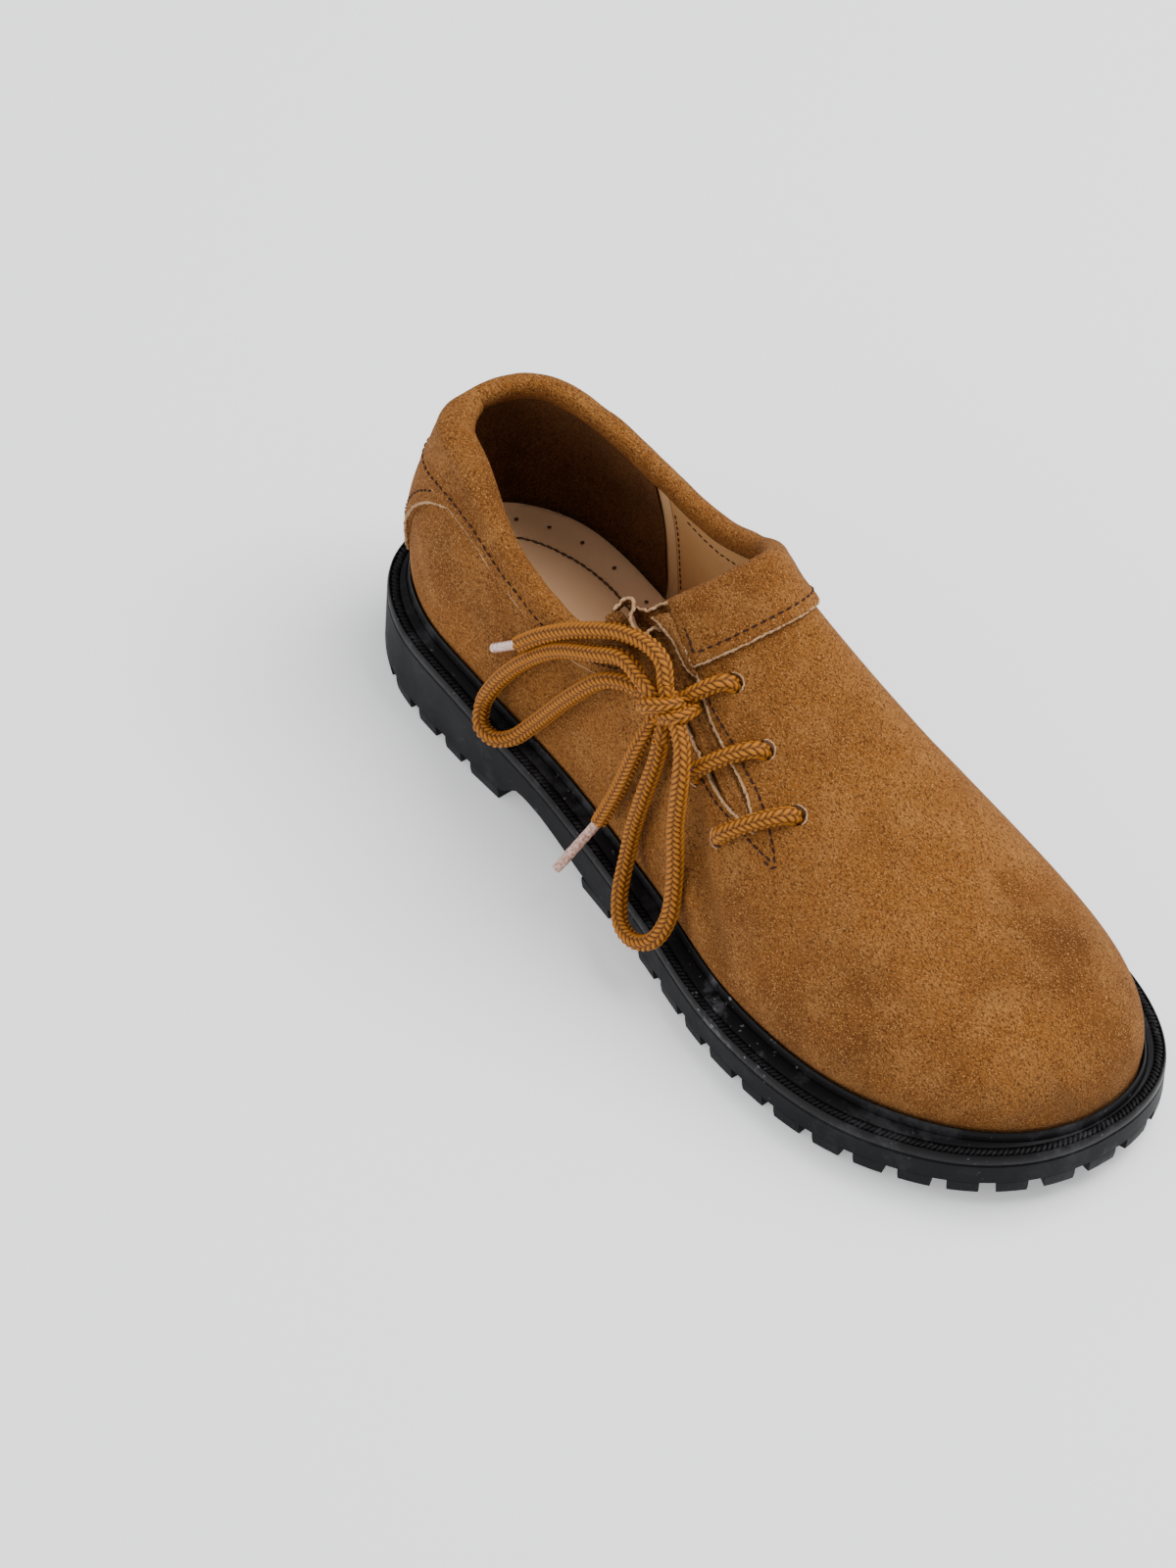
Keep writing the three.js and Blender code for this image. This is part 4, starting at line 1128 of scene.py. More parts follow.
class RowTree:
    """A Geometry Nodes tree that sets one small shape on every point of a row."""

    INPUTS = (
        ("Shape", "NodeSocketObject", None),
        ("Length", "NodeSocketFloat", 0.002),
        ("Width", "NodeSocketFloat", 0.0006),
        ("Height", "NodeSocketFloat", 0.0006),
        ("Jitter", "NodeSocketFloat", 0.08),
        ("Seed", "NodeSocketInt", 3),
        ("Finish", "NodeSocketMaterial", None),
    )

    def __init__(self) -> None:
        """Builds the tree and the small shape that it sets."""
        tree = bpy.data.node_groups.new("row_of_parts", "GeometryNodeTree")
        tree.is_modifier = True
        tree.interface.new_socket("Geometry", in_out="INPUT", socket_type="NodeSocketGeometry")
        self.sockets = {}
        for label, kind, value in self.INPUTS:
            socket = tree.interface.new_socket(label, in_out="INPUT", socket_type=kind)
            if value is not None:
                socket.default_value = value
            self.sockets[label] = socket.identifier
        tree.interface.new_socket("Geometry", in_out="OUTPUT", socket_type="NodeSocketGeometry")
        w = Wiring(tree)
        given = w.node("NodeGroupInput").outputs
        dots = w.node("GeometryNodeMeshToPoints", {"Mesh": given["Geometry"]})
        run = w.node("GeometryNodeInputNamedAttribute", {"Name": "run"}, data_type="FLOAT_VECTOR").outputs[0]
        face = w.node("GeometryNodeInputNamedAttribute", {"Name": "face"},
                      data_type="FLOAT_VECTOR").outputs[0]
        turn = w.node("FunctionNodeAlignRotationToVector", {"Vector": run}, axis="X")
        turn = w.node("FunctionNodeAlignRotationToVector", {"Rotation": turn.outputs[0], "Vector": face},
                      axis="Z", pivot_axis="X")
        low = w.maths("MULTIPLY", given["Jitter"], -1.0)
        lows = w.node("ShaderNodeCombineXYZ", {0: low, 1: low, 2: low})
        highs = w.node("ShaderNodeCombineXYZ", {0: given["Jitter"], 1: given["Jitter"], 2: given["Jitter"]})
        wobble = w.node("FunctionNodeRandomValue",
                        {0: lows.outputs[0], 1: highs.outputs[0], "Seed": given["Seed"]},
                        data_type="FLOAT_VECTOR")
        euler = w.node("FunctionNodeEulerToRotation", {0: wobble.outputs[0]})
        turned = w.node("FunctionNodeRotateRotation", {0: turn.outputs[0], 1: euler.outputs[0]},
                        rotation_space="LOCAL")
        shape = w.node("GeometryNodeObjectInfo", {"Object": given["Shape"]})
        size = w.node("ShaderNodeCombineXYZ", {0: given["Length"], 1: given["Width"], 2: given["Height"]})
        placed = w.node(
            "GeometryNodeInstanceOnPoints",
            {"Points": dots.outputs[0], "Instance": shape.outputs["Geometry"], "Rotation": turned.outputs[0],
             "Scale": size.outputs[0]},
        )
        real = w.node("GeometryNodeRealizeInstances", {0: placed.outputs[0]})
        dressed = w.node("GeometryNodeSetMaterial",
                         {"Geometry": real.outputs[0], "Material": given["Finish"]})
        w.node("NodeGroupOutput", {0: dressed.outputs[0]})
        self.tree = tree
        self.bead = self._bead()

    @staticmethod
    def _bead() -> Piece:
        """A rounded bead, one unit long, wide and high.

        Returns:
            The bead.
        """
        mesh = bpy.data.meshes.new("bead")
        work = bmesh.new()
        bmesh.ops.create_uvsphere(work, u_segments=8, v_segments=5, radius=0.5,
                                  matrix=Matrix.Rotation(math.pi / 2, 4, "Y"))
        for vert in work.verts:
            vert.co.y *= 1 + 0.25 * (1 - abs(vert.co.x) * 2)
        for face in work.faces:
            face.smooth = True
        work.to_mesh(mesh)
        work.free()
        return bpy.data.objects.new("bead", mesh)

    def set_row(self, name: str, rows: Sequence[tuple[Array, Array, Array]], size: tuple[float, float, float],
                finish: Material,
                jitter: float = 0.08, seed: int = 3) -> Piece:
        """Sets beads on rows of points.

        Args:
            name: The piece's name.
            rows: Points in millimetres, each with its run and facing directions.
            size: Length, width and height of a bead in millimetres.
            finish: Its material.
            jitter: How far a bead may be turned, in radians.
            seed: The seed of the turns.

        Returns:
            The piece, as a plain mesh.
        """
        points, runs, faces = (np.concatenate([row[i] for row in rows]) for i in range(3))
        mesh = bpy.data.meshes.new(name)
        mesh.from_pydata(((points - FRAME_ORIGIN) * MM).tolist(), [], [])
        for label, values in (("run", runs), ("face", faces)):
            layer = mesh.attributes.new(label, "FLOAT_VECTOR", "POINT")
            layer.data.foreach_set("vector", np.asarray(values, np.float32).ravel())
        piece = link(name, mesh)
        rowed = piece.modifiers.new("rowed", "NODES")
        rowed.node_group = self.tree
        values = (self.bead, size[0] * MM, size[1] * MM, size[2] * MM, jitter, seed, finish)
        for (label, _, _), value in zip(self.INPUTS, values):
            rowed[self.sockets[label]] = value
        bake(piece)
        for label in ("run", "face"):
            if label in piece.data.attributes:
                piece.data.attributes.remove(piece.data.attributes[label])
        return piece


def row_along(line: Array, faces: Array, pitch: float, lift: float = 0.0,
              slant: float = 0.0) -> tuple[Array, Array, Array]:
    """Spaces small parts along a line.

    Args:
        line: The line's points.
        faces: The facing direction at each of them.
        pitch: The distance between parts.
        lift: How far they stand off the line.
        slant: How far each is turned out of the line, in radians.

    Returns:
        Points, run directions and facing directions.
    """
    reach = reach_of(line)
    count = max(1, round(reach[-1] / pitch))
    goal = (np.arange(count) + 0.5) * reach[-1] / count
    points = np.stack([np.interp(goal, reach, line[:, i]) for i in range(3)], -1)
    facing = unit(np.stack([np.interp(goal, reach, faces[:, i]) for i in range(3)], -1))
    run = unit(np.stack([np.interp(goal, reach, np.gradient(line, axis=0)[:, i]) for i in range(3)], -1))
    across = np.cross(facing, run)
    return points + facing * lift, unit(run * math.cos(slant) + across * math.sin(slant)), facing


def frayed(name: str, lines: Sequence[Array], radius: float, finish: Material, seed: int) -> Piece:
    """Makes the pale furry line along a raw cut edge.

    Args:
        name: The piece's name.
        lines: The edges.
        radius: The line's mean radius.
        finish: Its material.
        seed: The seed of its unevenness.

    Returns:
        The piece.
    """
    draft = Draft()
    rng = np.random.default_rng(seed)
    for line in lines:
        fine = resample(line, 0.55)
        fine = fine + rng.normal(0, radius * 0.22, fine.shape)
        rough = radius * rng.uniform(0.55, 1.4, (len(fine), 6))
        rough[[0, -1]] *= 0.4
        add_tube(draft, fine, rough, 6)
    return draft.build(name, [finish], 80)


# The sole


def ring_of(stations: Array) -> tuple[Array, Array]:
    """Runs round the shoe: the outer side from heel to toe, then the inner side back.

    Args:
        stations: Stations from heel to toe.

    Returns:
        The ring's stations and sides.
    """
    at = np.concatenate([stations, stations[1:-1][::-1]])
    side = np.concatenate([-np.ones(len(stations)), np.ones(len(stations) - 2)])
    return at, side


def add_stack(draft: Draft, loops: Sequence[Array]) -> None:
    """Adds a body between stacked loops, closed at the bottom and top by strips across.

    Args:
        draft: Where it goes.
        loops: The loops from the bottom up, each a ring round the shoe.
    """
    numbers = np.array([draft.add(loop) for loop in loops])
    draft.skin(numbers, closed=True)
    draft.strips(numbers[0])
    draft.strips(numbers[-1])


@dataclass(frozen=True)
class Sole:
    """The moulded rubber sole: body, tread and welt."""

    tread_depth: float = 4.5
    lug_pitch: float = 13.5
    lug_reach: float = 31.0
    front_groove: float = 32.8
    heel_groove: float = 24.2
    groove_width: float = 4.2
    crescent_width: float = 29.0
    crescent_depth: float = 13.0
    crescent_start: float = 8.0
    crescent_pitch: float = 21.5
    crescent_height: float = 3.0
    welt_thickness: float = 3.5
    gap: float = 0.3
    steps: int = 150
    groove: tuple = ((-0.15, 0.6), (0.12, 0.5), (0.5, 0.43), (0.6, 0.83), (0.7, 0.43), (1.0, 0.45))
    crescents: tuple = ((0.01, 0.87), (0.022, 0.96), (0.034, 0.96), (0.046, 0.87), (0.058, 0.78))
    heel_recess: tuple = (0.62, 0.3, 0.13)
    strip: tuple = (
        (0.0, -1.6), (0.15, -0.5), (0.4, -0.1), (0.62, -0.12), (0.8, -0.9), (3.1, -0.8), (3.15, -0.1),
        (3.25, -0.05),
    )
    lip: tuple = (
        (1.95, 0.3), (1.85, -0.4), (1.7, -0.4), (1.65, 0.5), (1.55, 1.65), (1.3, 2.55), (1.0, 2.94),
        (0.7, 2.7), (0.65, 0.0),
    )
    rub: tuple = (190, 17)

    def loop(self, inset: float, height: Array) -> Array:
        """Gives a ring of the plan, moved in, at the given heights.

        Args:
            inset: How far it lies inside the outline.
            height: Its heights.

        Returns:
            The ring's points.
        """
        at, side = ring_of(np.linspace(0, LAST.turns, self.steps))
        x, y = LAST.outline(at, side, inset)
        return np.stack([x, y, height], -1)

    def heights(self) -> tuple[Array, Array, Array]:
        """Gives the ring's welt height, ground height and x.

        Returns:
            The three rows.
        """
        at, side = ring_of(np.linspace(0, LAST.turns, self.steps))
        x, _ = LAST.outline(at, side, 0)
        return LAST.welt_top(at), LAST.ground(at), x

    def _prism(self, draft: Draft, plan: Array, levels: Sequence[tuple[float, float]]) -> None:
        """Adds an upright prism whose plan grows from its middle line by level.

        Args:
            draft: The draft.
            plan: The outline in plan.
            levels: Pairs of a height and a share of the width.
        """
        middle = plan.mean(axis=0)
        rows = []
        for height, grow in levels:
            spread = plan + unit(plan - middle) * grow
            rows.append(draft.add(np.column_stack([spread, np.full(len(plan), height)])))
        draft.skin(np.array(rows), closed=True)
        draft.cap(rows[0][::-1])
        draft.cap(rows[-1])

    def _grooves(self, start: float, end: float, length: float) -> list[tuple[Array, float]]:
        """Gives the grooves along a stretch of the outline: each plan and the height of its lugs' feet.

        Args:
            start: Where the stretch starts.
            end: Where it ends.
            length: The grooves' length.

        Returns:
            The grooves.
        """
        turn = np.linspace(start, end, 400)
        inner = (turn < 0) | (turn > LAST.turns)
        at = np.where(turn < 0, -turn, np.where(turn > LAST.turns, 2 * LAST.turns - turn, turn))
        x, y = LAST.outline(at, np.where(inner, 1, -1), 0)
        line = np.column_stack([x, y])
        reach = reach_of(line)
        run = unit(np.gradient(line, axis=0))
        plans = []
        for goal in np.linspace(0, reach[-1], round(reach[-1] / self.lug_pitch) + 1):
            i = int(np.clip(np.searchsorted(reach, goal), 2, len(line) - 3))
            inward = np.array((-run[i, 1], run[i, 0]))
            cross = np.array((-inward[1], inward[0]))
            half = np.array(self.groove) * (length, self.groove_width)
            near = [line[i] + inward * deep + cross * wide for deep, wide in half]
            far = [line[i] + inward * deep - cross * wide for deep, wide in half[::-1]]
            plans.append((np.array(near + far), float(LAST.ground(at[i]))))
        return plans

    def _oval(self, x: float, y: float, half_length: float, half_width: float, sides: int = 48) -> Array:
        """Gives an oval in plan."""
        turn = np.linspace(0, 2 * math.pi, sides, endpoint=False)
        return np.column_stack([x + half_length * np.cos(turn), y + half_width * np.sin(turn)])

    def _tread(self, finish: Material) -> Piece:
        """Makes the lugs round the edge, cut from one ring by its grooves.

        Args:
            finish: Its material.

        Returns:
            The piece.
        """
        _, ground, _ = self.heights()
        lugs = Draft()
        add_stack(lugs, [
            self.loop(0.6, ground),
            self.loop(0.12, ground + self.tread_depth * 0.6),
            self.loop(0.0, ground + self.tread_depth - 0.1),
            self.loop(1.2, ground + self.tread_depth + 0.4),
        ])
        tread = lugs.build("tread", [finish])
        waist_end = LAST.heel_length + LAST.waist_length
        toe_side = LAST.sole_length - self.lug_reach
        wide = LAST.ball_width
        top = LAST.heel_height
        cutter = Draft()
        waist = np.array(((LAST.heel_length, -wide), (waist_end, -wide), (waist_end, wide),
                          (LAST.heel_length, wide)))
        self._prism(cutter, waist, ((-3, 0), (top, 0)))
        carve(tread, cutter.build("cutter", [finish]))
        cutter = Draft()
        ball = self._oval((waist_end + toe_side) / 2 + 3, wide * 0.034, (toe_side - waist_end) / 2 - 3,
                          wide / 2 - self.lug_reach)
        self._prism(cutter, ball, ((-3, 0), (top, 0)))
        middle, half, width = self.heel_recess
        self._prism(cutter, self._oval(LAST.heel_length * middle, 0, LAST.heel_length * half, wide * width),
                    ((-3, 0), (top, 0)))
        carve(tread, cutter.build("cutter", [finish]))
        cutter = Draft()
        front = float(LAST.station_of((waist_end + self.lug_pitch) / LAST.sole_length))
        heel = float(LAST.station_of((LAST.heel_length - self.lug_pitch) / LAST.sole_length))
        plans = self._grooves(front, 2 * LAST.turns - front, self.front_groove) + self._grooves(-heel, heel,
                self.heel_groove)
        for plan, foot in plans:
            self._prism(cutter, plan, ((-3, 1.0), (foot, 1.0), (foot + 1.6, 0.3), (top, 0.1)))
        carve(tread, cutter.build("cutter", [finish]))
        return tread

    def _crescents(self, draft: Draft) -> None:
        """Adds the crescents under the ball, each a raised rim round a lower field.

        Args:
            draft: The draft.
        """
        waist_end = LAST.heel_length + LAST.waist_length
        for i, (shift, size) in enumerate(self.crescents):
            x = waist_end + self.crescent_start + i * self.crescent_pitch
            y = LAST.ball_width * shift
            high = float(LAST.ground(LAST.station_of(x / LAST.sole_length))) + self.tread_depth
            half = self.crescent_width * size / 2
            for low, high_turn in ((-0.5, -0.2), (-0.16, 0.16), (0.2, 0.5)):
                turn = np.linspace(low, high_turn, 9) * math.pi
                outer = np.column_stack([x + self.crescent_depth * np.cos(turn), y + half * np.sin(turn)])
                t = np.sin(turn[::-1])
                inner = np.column_stack([x + self.crescent_depth * 0.22 * (1 - t * t), y + half * 0.72 * t])
                plan = np.vstack([outer, inner])
                self._prism(draft, plan, ((high - self.crescent_height, -0.5),
                                          (high - self.crescent_height + 0.6, 0), (high + 1, 0)))

    def _waist(self, draft: Draft) -> None:
        """Adds the waist's raised oval and its cross lines.

        Args:
            draft: The draft.
        """
        x0, x1 = LAST.heel_length + LAST.breast_slope + 3, LAST.heel_length + LAST.waist_length - 2
        middle = (x0 + x1) / 2
        for half_x, half_y, lift in ((9.5, 19.0, 0.5), (8.2, 17.7, 1.0)):
            plan = self._oval(middle, 0, half_x, half_y)
            level = self.tread_depth + float(LAST.arch_lift(middle)) - lift
            self._prism(draft, plan, ((level, 0), (level + 3, 0)))
        for offset in (-13.0, 13.0):
            x = middle + offset
            level = self.tread_depth + float(LAST.arch_lift(x)) - 0.7
            plan = np.array(((x - 0.8, -27), (x + 0.8, -27), (x + 0.8, 27), (x - 0.8, 27)))
            self._prism(draft, plan, ((level, 0), (level + 3, 0)))

    def make_outsole(self, finish: Material) -> Piece:
        """Builds the outsole.

        Args:
            finish: Its material.

        Returns:
            The piece.
        """
        top, ground, x = self.heights()
        floor = ground + self.tread_depth + LAST.arch_lift(x)
        under = top - self.welt_thickness - self.gap
        tread = self._tread(finish)
        body = Draft()
        add_stack(body, [
            self.loop(0.0, floor),
            self.loop(0.0, (floor + under) / 2),
            self.loop(0.0, under - 0.4),
            self.loop(0.3, under),
        ])
        self._crescents(body)
        self._waist(body)
        sole = body.build("outsole_rubber", [finish], 30)
        absorb(sole, tread)
        shade(sole, 30)
        return settle(sole, Slot.SOLE, "outsole")

    def make_welt(self, finish: Material) -> Piece:
        """Builds the welt with its stitched strip, channel and lip.

        Args:
            finish: Its material.

        Returns:
            The piece.
        """
        top, _, _ = self.heights()
        at, side = ring_of(np.linspace(0, LAST.turns, self.steps))
        under = top - self.welt_thickness
        loops = [self.loop(0.4, under - self.gap + 0.02), self.loop(0.02, under + 0.3)]
        loops += [self.loop(inset, top + rise) for inset, rise in self.strip]
        for out, rise in self.lip:
            ring = LAST.point(at, side * 90, out)
            ring[:, 2] = top + rise
            loops.append(ring)
        draft = Draft()
        add_stack(draft, loops)
        welt = draft.build("welt_rubber", [finish], 50)
        points = places_of(welt)
        # A pale band on the outer rim near x=190, partly dust and partly a painted highlight.
        dust_and_glint_at, dust_and_glint_reach = self.rub
        paint(welt, "rub", np.exp(-(((points[:, 0] - dust_and_glint_at) / dust_and_glint_reach) ** 2)) * (points[:, 1] < 0))
        return settle(welt, Slot.WELT, "welt")

    def make_ribs(self, rows: RowTree, finish: Material) -> Piece:
        """Sets the slanted ribs into the welt's strip.

        Args:
            rows: The tree that sets rows.
            finish: Its material.

        Returns:
            The piece.
        """
        top, _, _ = self.heights()
        line = self.loop(1.95, top - 0.5)
        line = np.vstack([line, line[:1]])
        up = np.tile((0.0, 0.0, 1.0), (len(line), 1))
        ribs = row_along(line, up, 1.5, 0.0, 1.0)
        return settle(rows.set_row("welt_ribs", [ribs], (3.1, 1.25, 1.3), finish, 0.16, 11), Slot.WELT)


# The upper


@dataclass(frozen=True)
class Upper:
    """The suede wall with its slit, eyelets, collar band, back stay and gusset."""

    wall: float = 2.4
    gap: float = 0.3
    overlay_gap: float = 0.65
    collar_depth: float = 16.0
    roll_radius: float = 2.7
    outer_drop: float = 9.4
    outer_lean: float = 4.6
    collar_seat: float = 1.6
    band_thickness: float = 1.5
    band_start: float = 6.6
    band_end: float = 5.9
    stay_thickness: float = 1.2
    stay_tuck: float = 1.035
    gusset_thickness: float = 1.2
    gusset_half: float = 13.0
    eyelet_radius: float = 2.85
    opening_steps: int = 110
    front_steps: int = 120
    wall_steps: int = 54
    slit: tuple = (
        (4.4, -30.0, 4.12, -43.0), (4.62, -35.5, 4.5, -47.0), (4.84, -37.8, 4.8, -47.5),
        (5.06, -40.0, 5.06, -48.4), (5.26, -40.1, 5.3, -48.6), (5.48, -39.5, 5.48, -47.2),
        (5.62, -40.7, 5.6, -45.4), (5.73, -42.3, 5.73, -43.1),
    )
    vamp_row: tuple = (
        (4.93, -37.6), (5.04, -38.0), (5.15, -37.6), (5.29, -36.8), (5.44, -36.8), (5.58, -36.2),
        (5.71, -37.1), (5.84, -38.9), (5.95, -41.6), (5.96, -43.2), (5.88, -44.6),
    )
    quarter_row: tuple = ((5.2, -51.4), (5.32, -50.6), (5.44, -49.4), (5.57, -47.6), (5.72, -45.6),
                          (5.84, -43.9), (5.93, -42.4))
    eyelets: tuple = ((5.06, -28.8, 4.82, -48.5), (5.46, -28.8, 5.14, -53.6), (5.86, -28.8, 5.52, -54.8))
    gusset: tuple = (
        (6.15, -42.0, 0.3, 0.0), (5.8, -42.5, 0.7, 0.0), (5.4, -43.0, 1.0, 0.0), (5.0, -42.5, 1.0, 0.0),
        (4.68, -41.0, 0.66, 0.0), (4.5, -39.6, 0.42, 0.05), (4.34, -38.3, 0.38, 0.5),
    )
    frills: tuple = (
        (
            (109.1, -28.4, 96.6), (109.1, -27.1, 97.3), (109.1, -25.5, 98.3), (109.6, -23.9, 98.9),
            (111.3, -23.5, 99.3), (112.8, -24.4, 98.4), (113.6, -26.2, 96.8), (116.1, -27.1, 95.2),
            (118.8, -27.1, 94.0), (120.1, -26.1, 93.7), (119.3, -24.1, 94.1), (119.4, -22.2, 94.5),
            (120.9, -21.0, 93.5),
        ),
        (
            (111.7, -23.0, 96.6), (114.1, -21.8, 96.4), (115.2, -21.0, 96.8), (116.0, -19.3, 97.9),
            (116.8, -18.0, 98.8), (118.4, -15.9, 99.0), (120.3, -15.6, 98.5),
        ),
    )
    flaps: tuple = (
        (
            (
                (117.8, -22.4, 96.8), (119.8, -21.6, 96.5), (122.1, -21.4, 95.6), (126.0, -21.0, 93.6),
                (130.7, -21.5, 90.6), (133.5, -21.6, 89.2), (135.7, -20.9, 88.3),
            ),
            (
                (121.2, -17.8, 99.5), (124.6, -17.3, 97.9), (127.0, -18.1, 95.8), (129.1, -18.7, 94.0),
                (131.5, -19.5, 92.0), (133.7, -20.1, 90.3), (135.7, -20.2, 89.0),
            ),
        ),
        (
            (
                (106.6, -28.9, 92.0), (107.1, -28.0, 93.0), (107.7, -27.1, 94.0), (108.6, -26.2, 94.4),
                (109.9, -25.5, 93.9), (112.1, -25.1, 92.4), (115.1, -24.7, 90.0),
            ),
            (
                (108.5, -30.1, 85.9), (109.6, -29.6, 86.0), (110.6, -29.0, 86.2), (111.8, -28.3, 86.4),
                (112.8, -27.4, 86.2), (113.9, -26.2, 86.1), (115.4, -24.7, 86.0),
            ),
        ),
    )
    frill_fall: tuple = (-2.25, 1.72, -5.04)
    scuffs: tuple = (((281, -2, 27), (20, 30, 13), 0.75), ((238, -44, 24), (17, 14, 9), 0.45))
    # Spots down the trough beside the slit, darkened with painted shadow.
    trough: tuple = (
        (5.12, -55.5), (5.21, -58.3), (5.3, -61), (5.4, -64), (5.49, -66.9), (5.58, -69.2), (5.68, -72),
        (5.8, -75),
    )
    # Four soft darker patches: station, angle, depth and reach.
    clouds: tuple = ((6.1, -46, 0.16, 15), (6.55, -38, 0.18, 15), (7.3, -18, 0.1, 15), (6.0, -30, 0.08, 15))
    stitch: tuple = (2.1, 0.62, 0.5)
    seam_pitch: float = 2.7
    slit_pitch: float = 2.5
    end_pitch: float = 2.2
    stay: tuple = ((1.0, 2.1), (0.9, 1.8), (0.75, 1.52), (0.5, 1.24), (0.28, 1.06), (0.05, 0.98))

    def slit_lines(self, count: int) -> tuple[Array, Array, Array, Array]:
        """Gives stations and angles of the slit's two edges, vamp side first.

        Args:
            count: How many places.

        Returns:
            The four rows.
        """
        table = np.array(self.slit)
        place = np.linspace(0, len(table) - 1, count)
        return tuple(along(table[:, i], place) for i in range(4))

    def rim(self, turn: Array, side: Array) -> tuple[Array, Array]:
        """Gives stations and angles of the wall's upper edge under the collar."""
        at, angle = LAST.collar_spot(turn, side, self.collar_seat)
        return at, angle + side * np.degrees(self.rim_drop(turn, side)
                / (LAST.cone_height * along(LAST.height, at)))

    def _rows(self) -> tuple[Array, Array, Array, Array]:
        """Gives the wall's ring: stations, sides, top angles and which are at the opening.

        Returns:
            The four rows.
        """
        turns = np.linspace(0, LAST.collar_turns, self.opening_steps)
        stations, outer = self.rim(turns, -1)
        _, inner = self.rim(turns, 1)
        front = np.linspace(stations[-1], LAST.turns, self.front_steps + 1)[1:]
        at = np.concatenate([stations, front])
        tops = {-1: np.concatenate([outer, front * 0]), 1: np.concatenate([inner, front * 0])}
        ring, side = ring_of(at)
        row = np.concatenate([np.arange(len(at)), np.arange(1, len(at) - 1)[::-1]])
        top = np.where(side < 0, tops[-1][row], tops[1][row])
        return ring, side, top, row < self.opening_steps

    def _skin(self, out: float) -> tuple[Array, Array]:
        """Gives the wall's points at a distance off the outer face, and which columns are open.

        Args:
            out: The distance off the outer face.

        Returns:
            The points and the open columns.
        """
        at, side, top, is_open = self._rows()
        t = np.linspace(0, 1, self.wall_steps + 1)[:, None] ** 1.25
        angle = side * 90 + (top - side * 90) * t
        wall = LAST.point(np.broadcast_to(at, angle.shape), angle, out)
        foot = LAST.point(at, side * 90, out)
        foot[:, 2] = LAST.welt_top(at) + self.gap
        return np.concatenate([foot[None], wall]), is_open

    def make_wall(self, suede: Material, lining: Material, raw: Material) -> Piece:
        """Builds the wall and cuts its slit and eyelets.

        Args:
            suede: Its material.
            lining: The inner face's material.
            raw: The cut edges' material.

        Returns:
            The piece.
        """
        outer, is_open = self._skin(0.0)
        inner, _ = self._skin(-self.wall)
        draft = Draft()
        out_numbers = draft.add(crease(outer))
        in_numbers = draft.add(crease(inner))
        draft.skin(out_numbers, closed=True)
        draft.skin(in_numbers, closed=True, slot=1)
        draft.skin(np.array([out_numbers[0], in_numbers[0]]), closed=True, slot=1)
        count = outer.shape[1]
        for i in range(count):
            j = (i + 1) % count
            if is_open[i] and is_open[j]:
                draft.cap(np.array([out_numbers[-1][i], out_numbers[-1][j], in_numbers[-1][j],
                                    in_numbers[-1][i]]))
        wall = draft.build("upper_suede", [suede, lining, raw], 60)
        carve(wall, self._cutter(raw))
        shade(wall, 50)
        self._paint_scuffs_and_shade(wall)
        return settle(wall, Slot.SUEDE, "upper")

    def _cutter(self, raw: Material) -> Piece:
        """Makes the slit and eyelet cutters as one mesh.

        Args:
            raw: The cut edges' material.

        Returns:
            The cutter.
        """
        draft = Draft()
        vamp_at, vamp, quarter_at, quarter = self.slit_lines(60)
        corners = [
            LAST.point(vamp_at, vamp, 5.0),
            LAST.point(vamp_at, vamp, -self.wall - 4),
            LAST.point(quarter_at, quarter, -self.wall - 4),
            LAST.point(quarter_at, quarter, 5.0),
        ]
        numbers = draft.add(np.stack(corners, 1))
        draft.tube(numbers)
        for vamp_at, vamp, quarter_at, quarter in self.eyelets:
            for at, angle in ((vamp_at, vamp), (quarter_at, quarter)):
                middle, face = LAST.point(at, angle), LAST.normal(at, angle)
                line = np.linspace(middle - face * 8, middle + face * 6, 5)
                add_tube(draft, line, self.eyelet_radius, 28)
        draft.slots = [2] * len(draft.faces)
        return draft.build("cutter", [raw, raw, raw])

    def _paint_scuffs_and_shade(self, wall: Piece) -> None:
        """Stores where the suede is darkened: real scuffs at the toe and side, darker towards the welt,
        painted shadow down the slit's trough and four soft darker clouds.

        Args:
            wall: The wall.
        """
        points = places_of(wall)
        over = points[:, 2] - LAST.welt_top(LAST.station_of(points[:, 0] / LAST.sole_length))
        # Darker towards the welt, then the real scuffs at the toe and side.
        scuff = 0.3 * np.exp(-np.maximum(over - 3.5, 0) / 2.2)
        for middle, reach, deep in self.scuffs:
            scuff += deep * np.exp(-(((points - middle) / reach) ** 2).sum(axis=1))
        # Painted shadow down the trough beside the slit, then four soft darker patches.
        for at, angle, deep, reach in (*((*spot, 0.66, 3.8) for spot in self.trough), *self.clouds):
            gap = np.linalg.norm(points - LAST.point(at, angle), axis=1)
            scuff += deep * np.exp(-((gap / reach) ** 2))
        paint(wall, "scuff", np.clip(scuff, 0, 1))

    def _band_path(self, count: int) -> tuple[Array, Array]:
        """Gives the collar's turns and sides, from the vamp's front end round to the quarter.

        Args:
            count: How many places.

        Returns:
            The turns and the sides.
        """
        back = np.linspace(LAST.collar_turns, 0, int(count * 0.5))
        start = np.linspace(self.band_start, LAST.collar_turns, int(count * 0.12))
        end = np.linspace(0, self.band_end, int(count * 0.38))
        turn = np.concatenate([start, back[1:], end[1:]])
        side = np.concatenate([-np.ones(len(start)), np.ones(len(back) - 1), -np.ones(len(end) - 1)])
        return turn, side

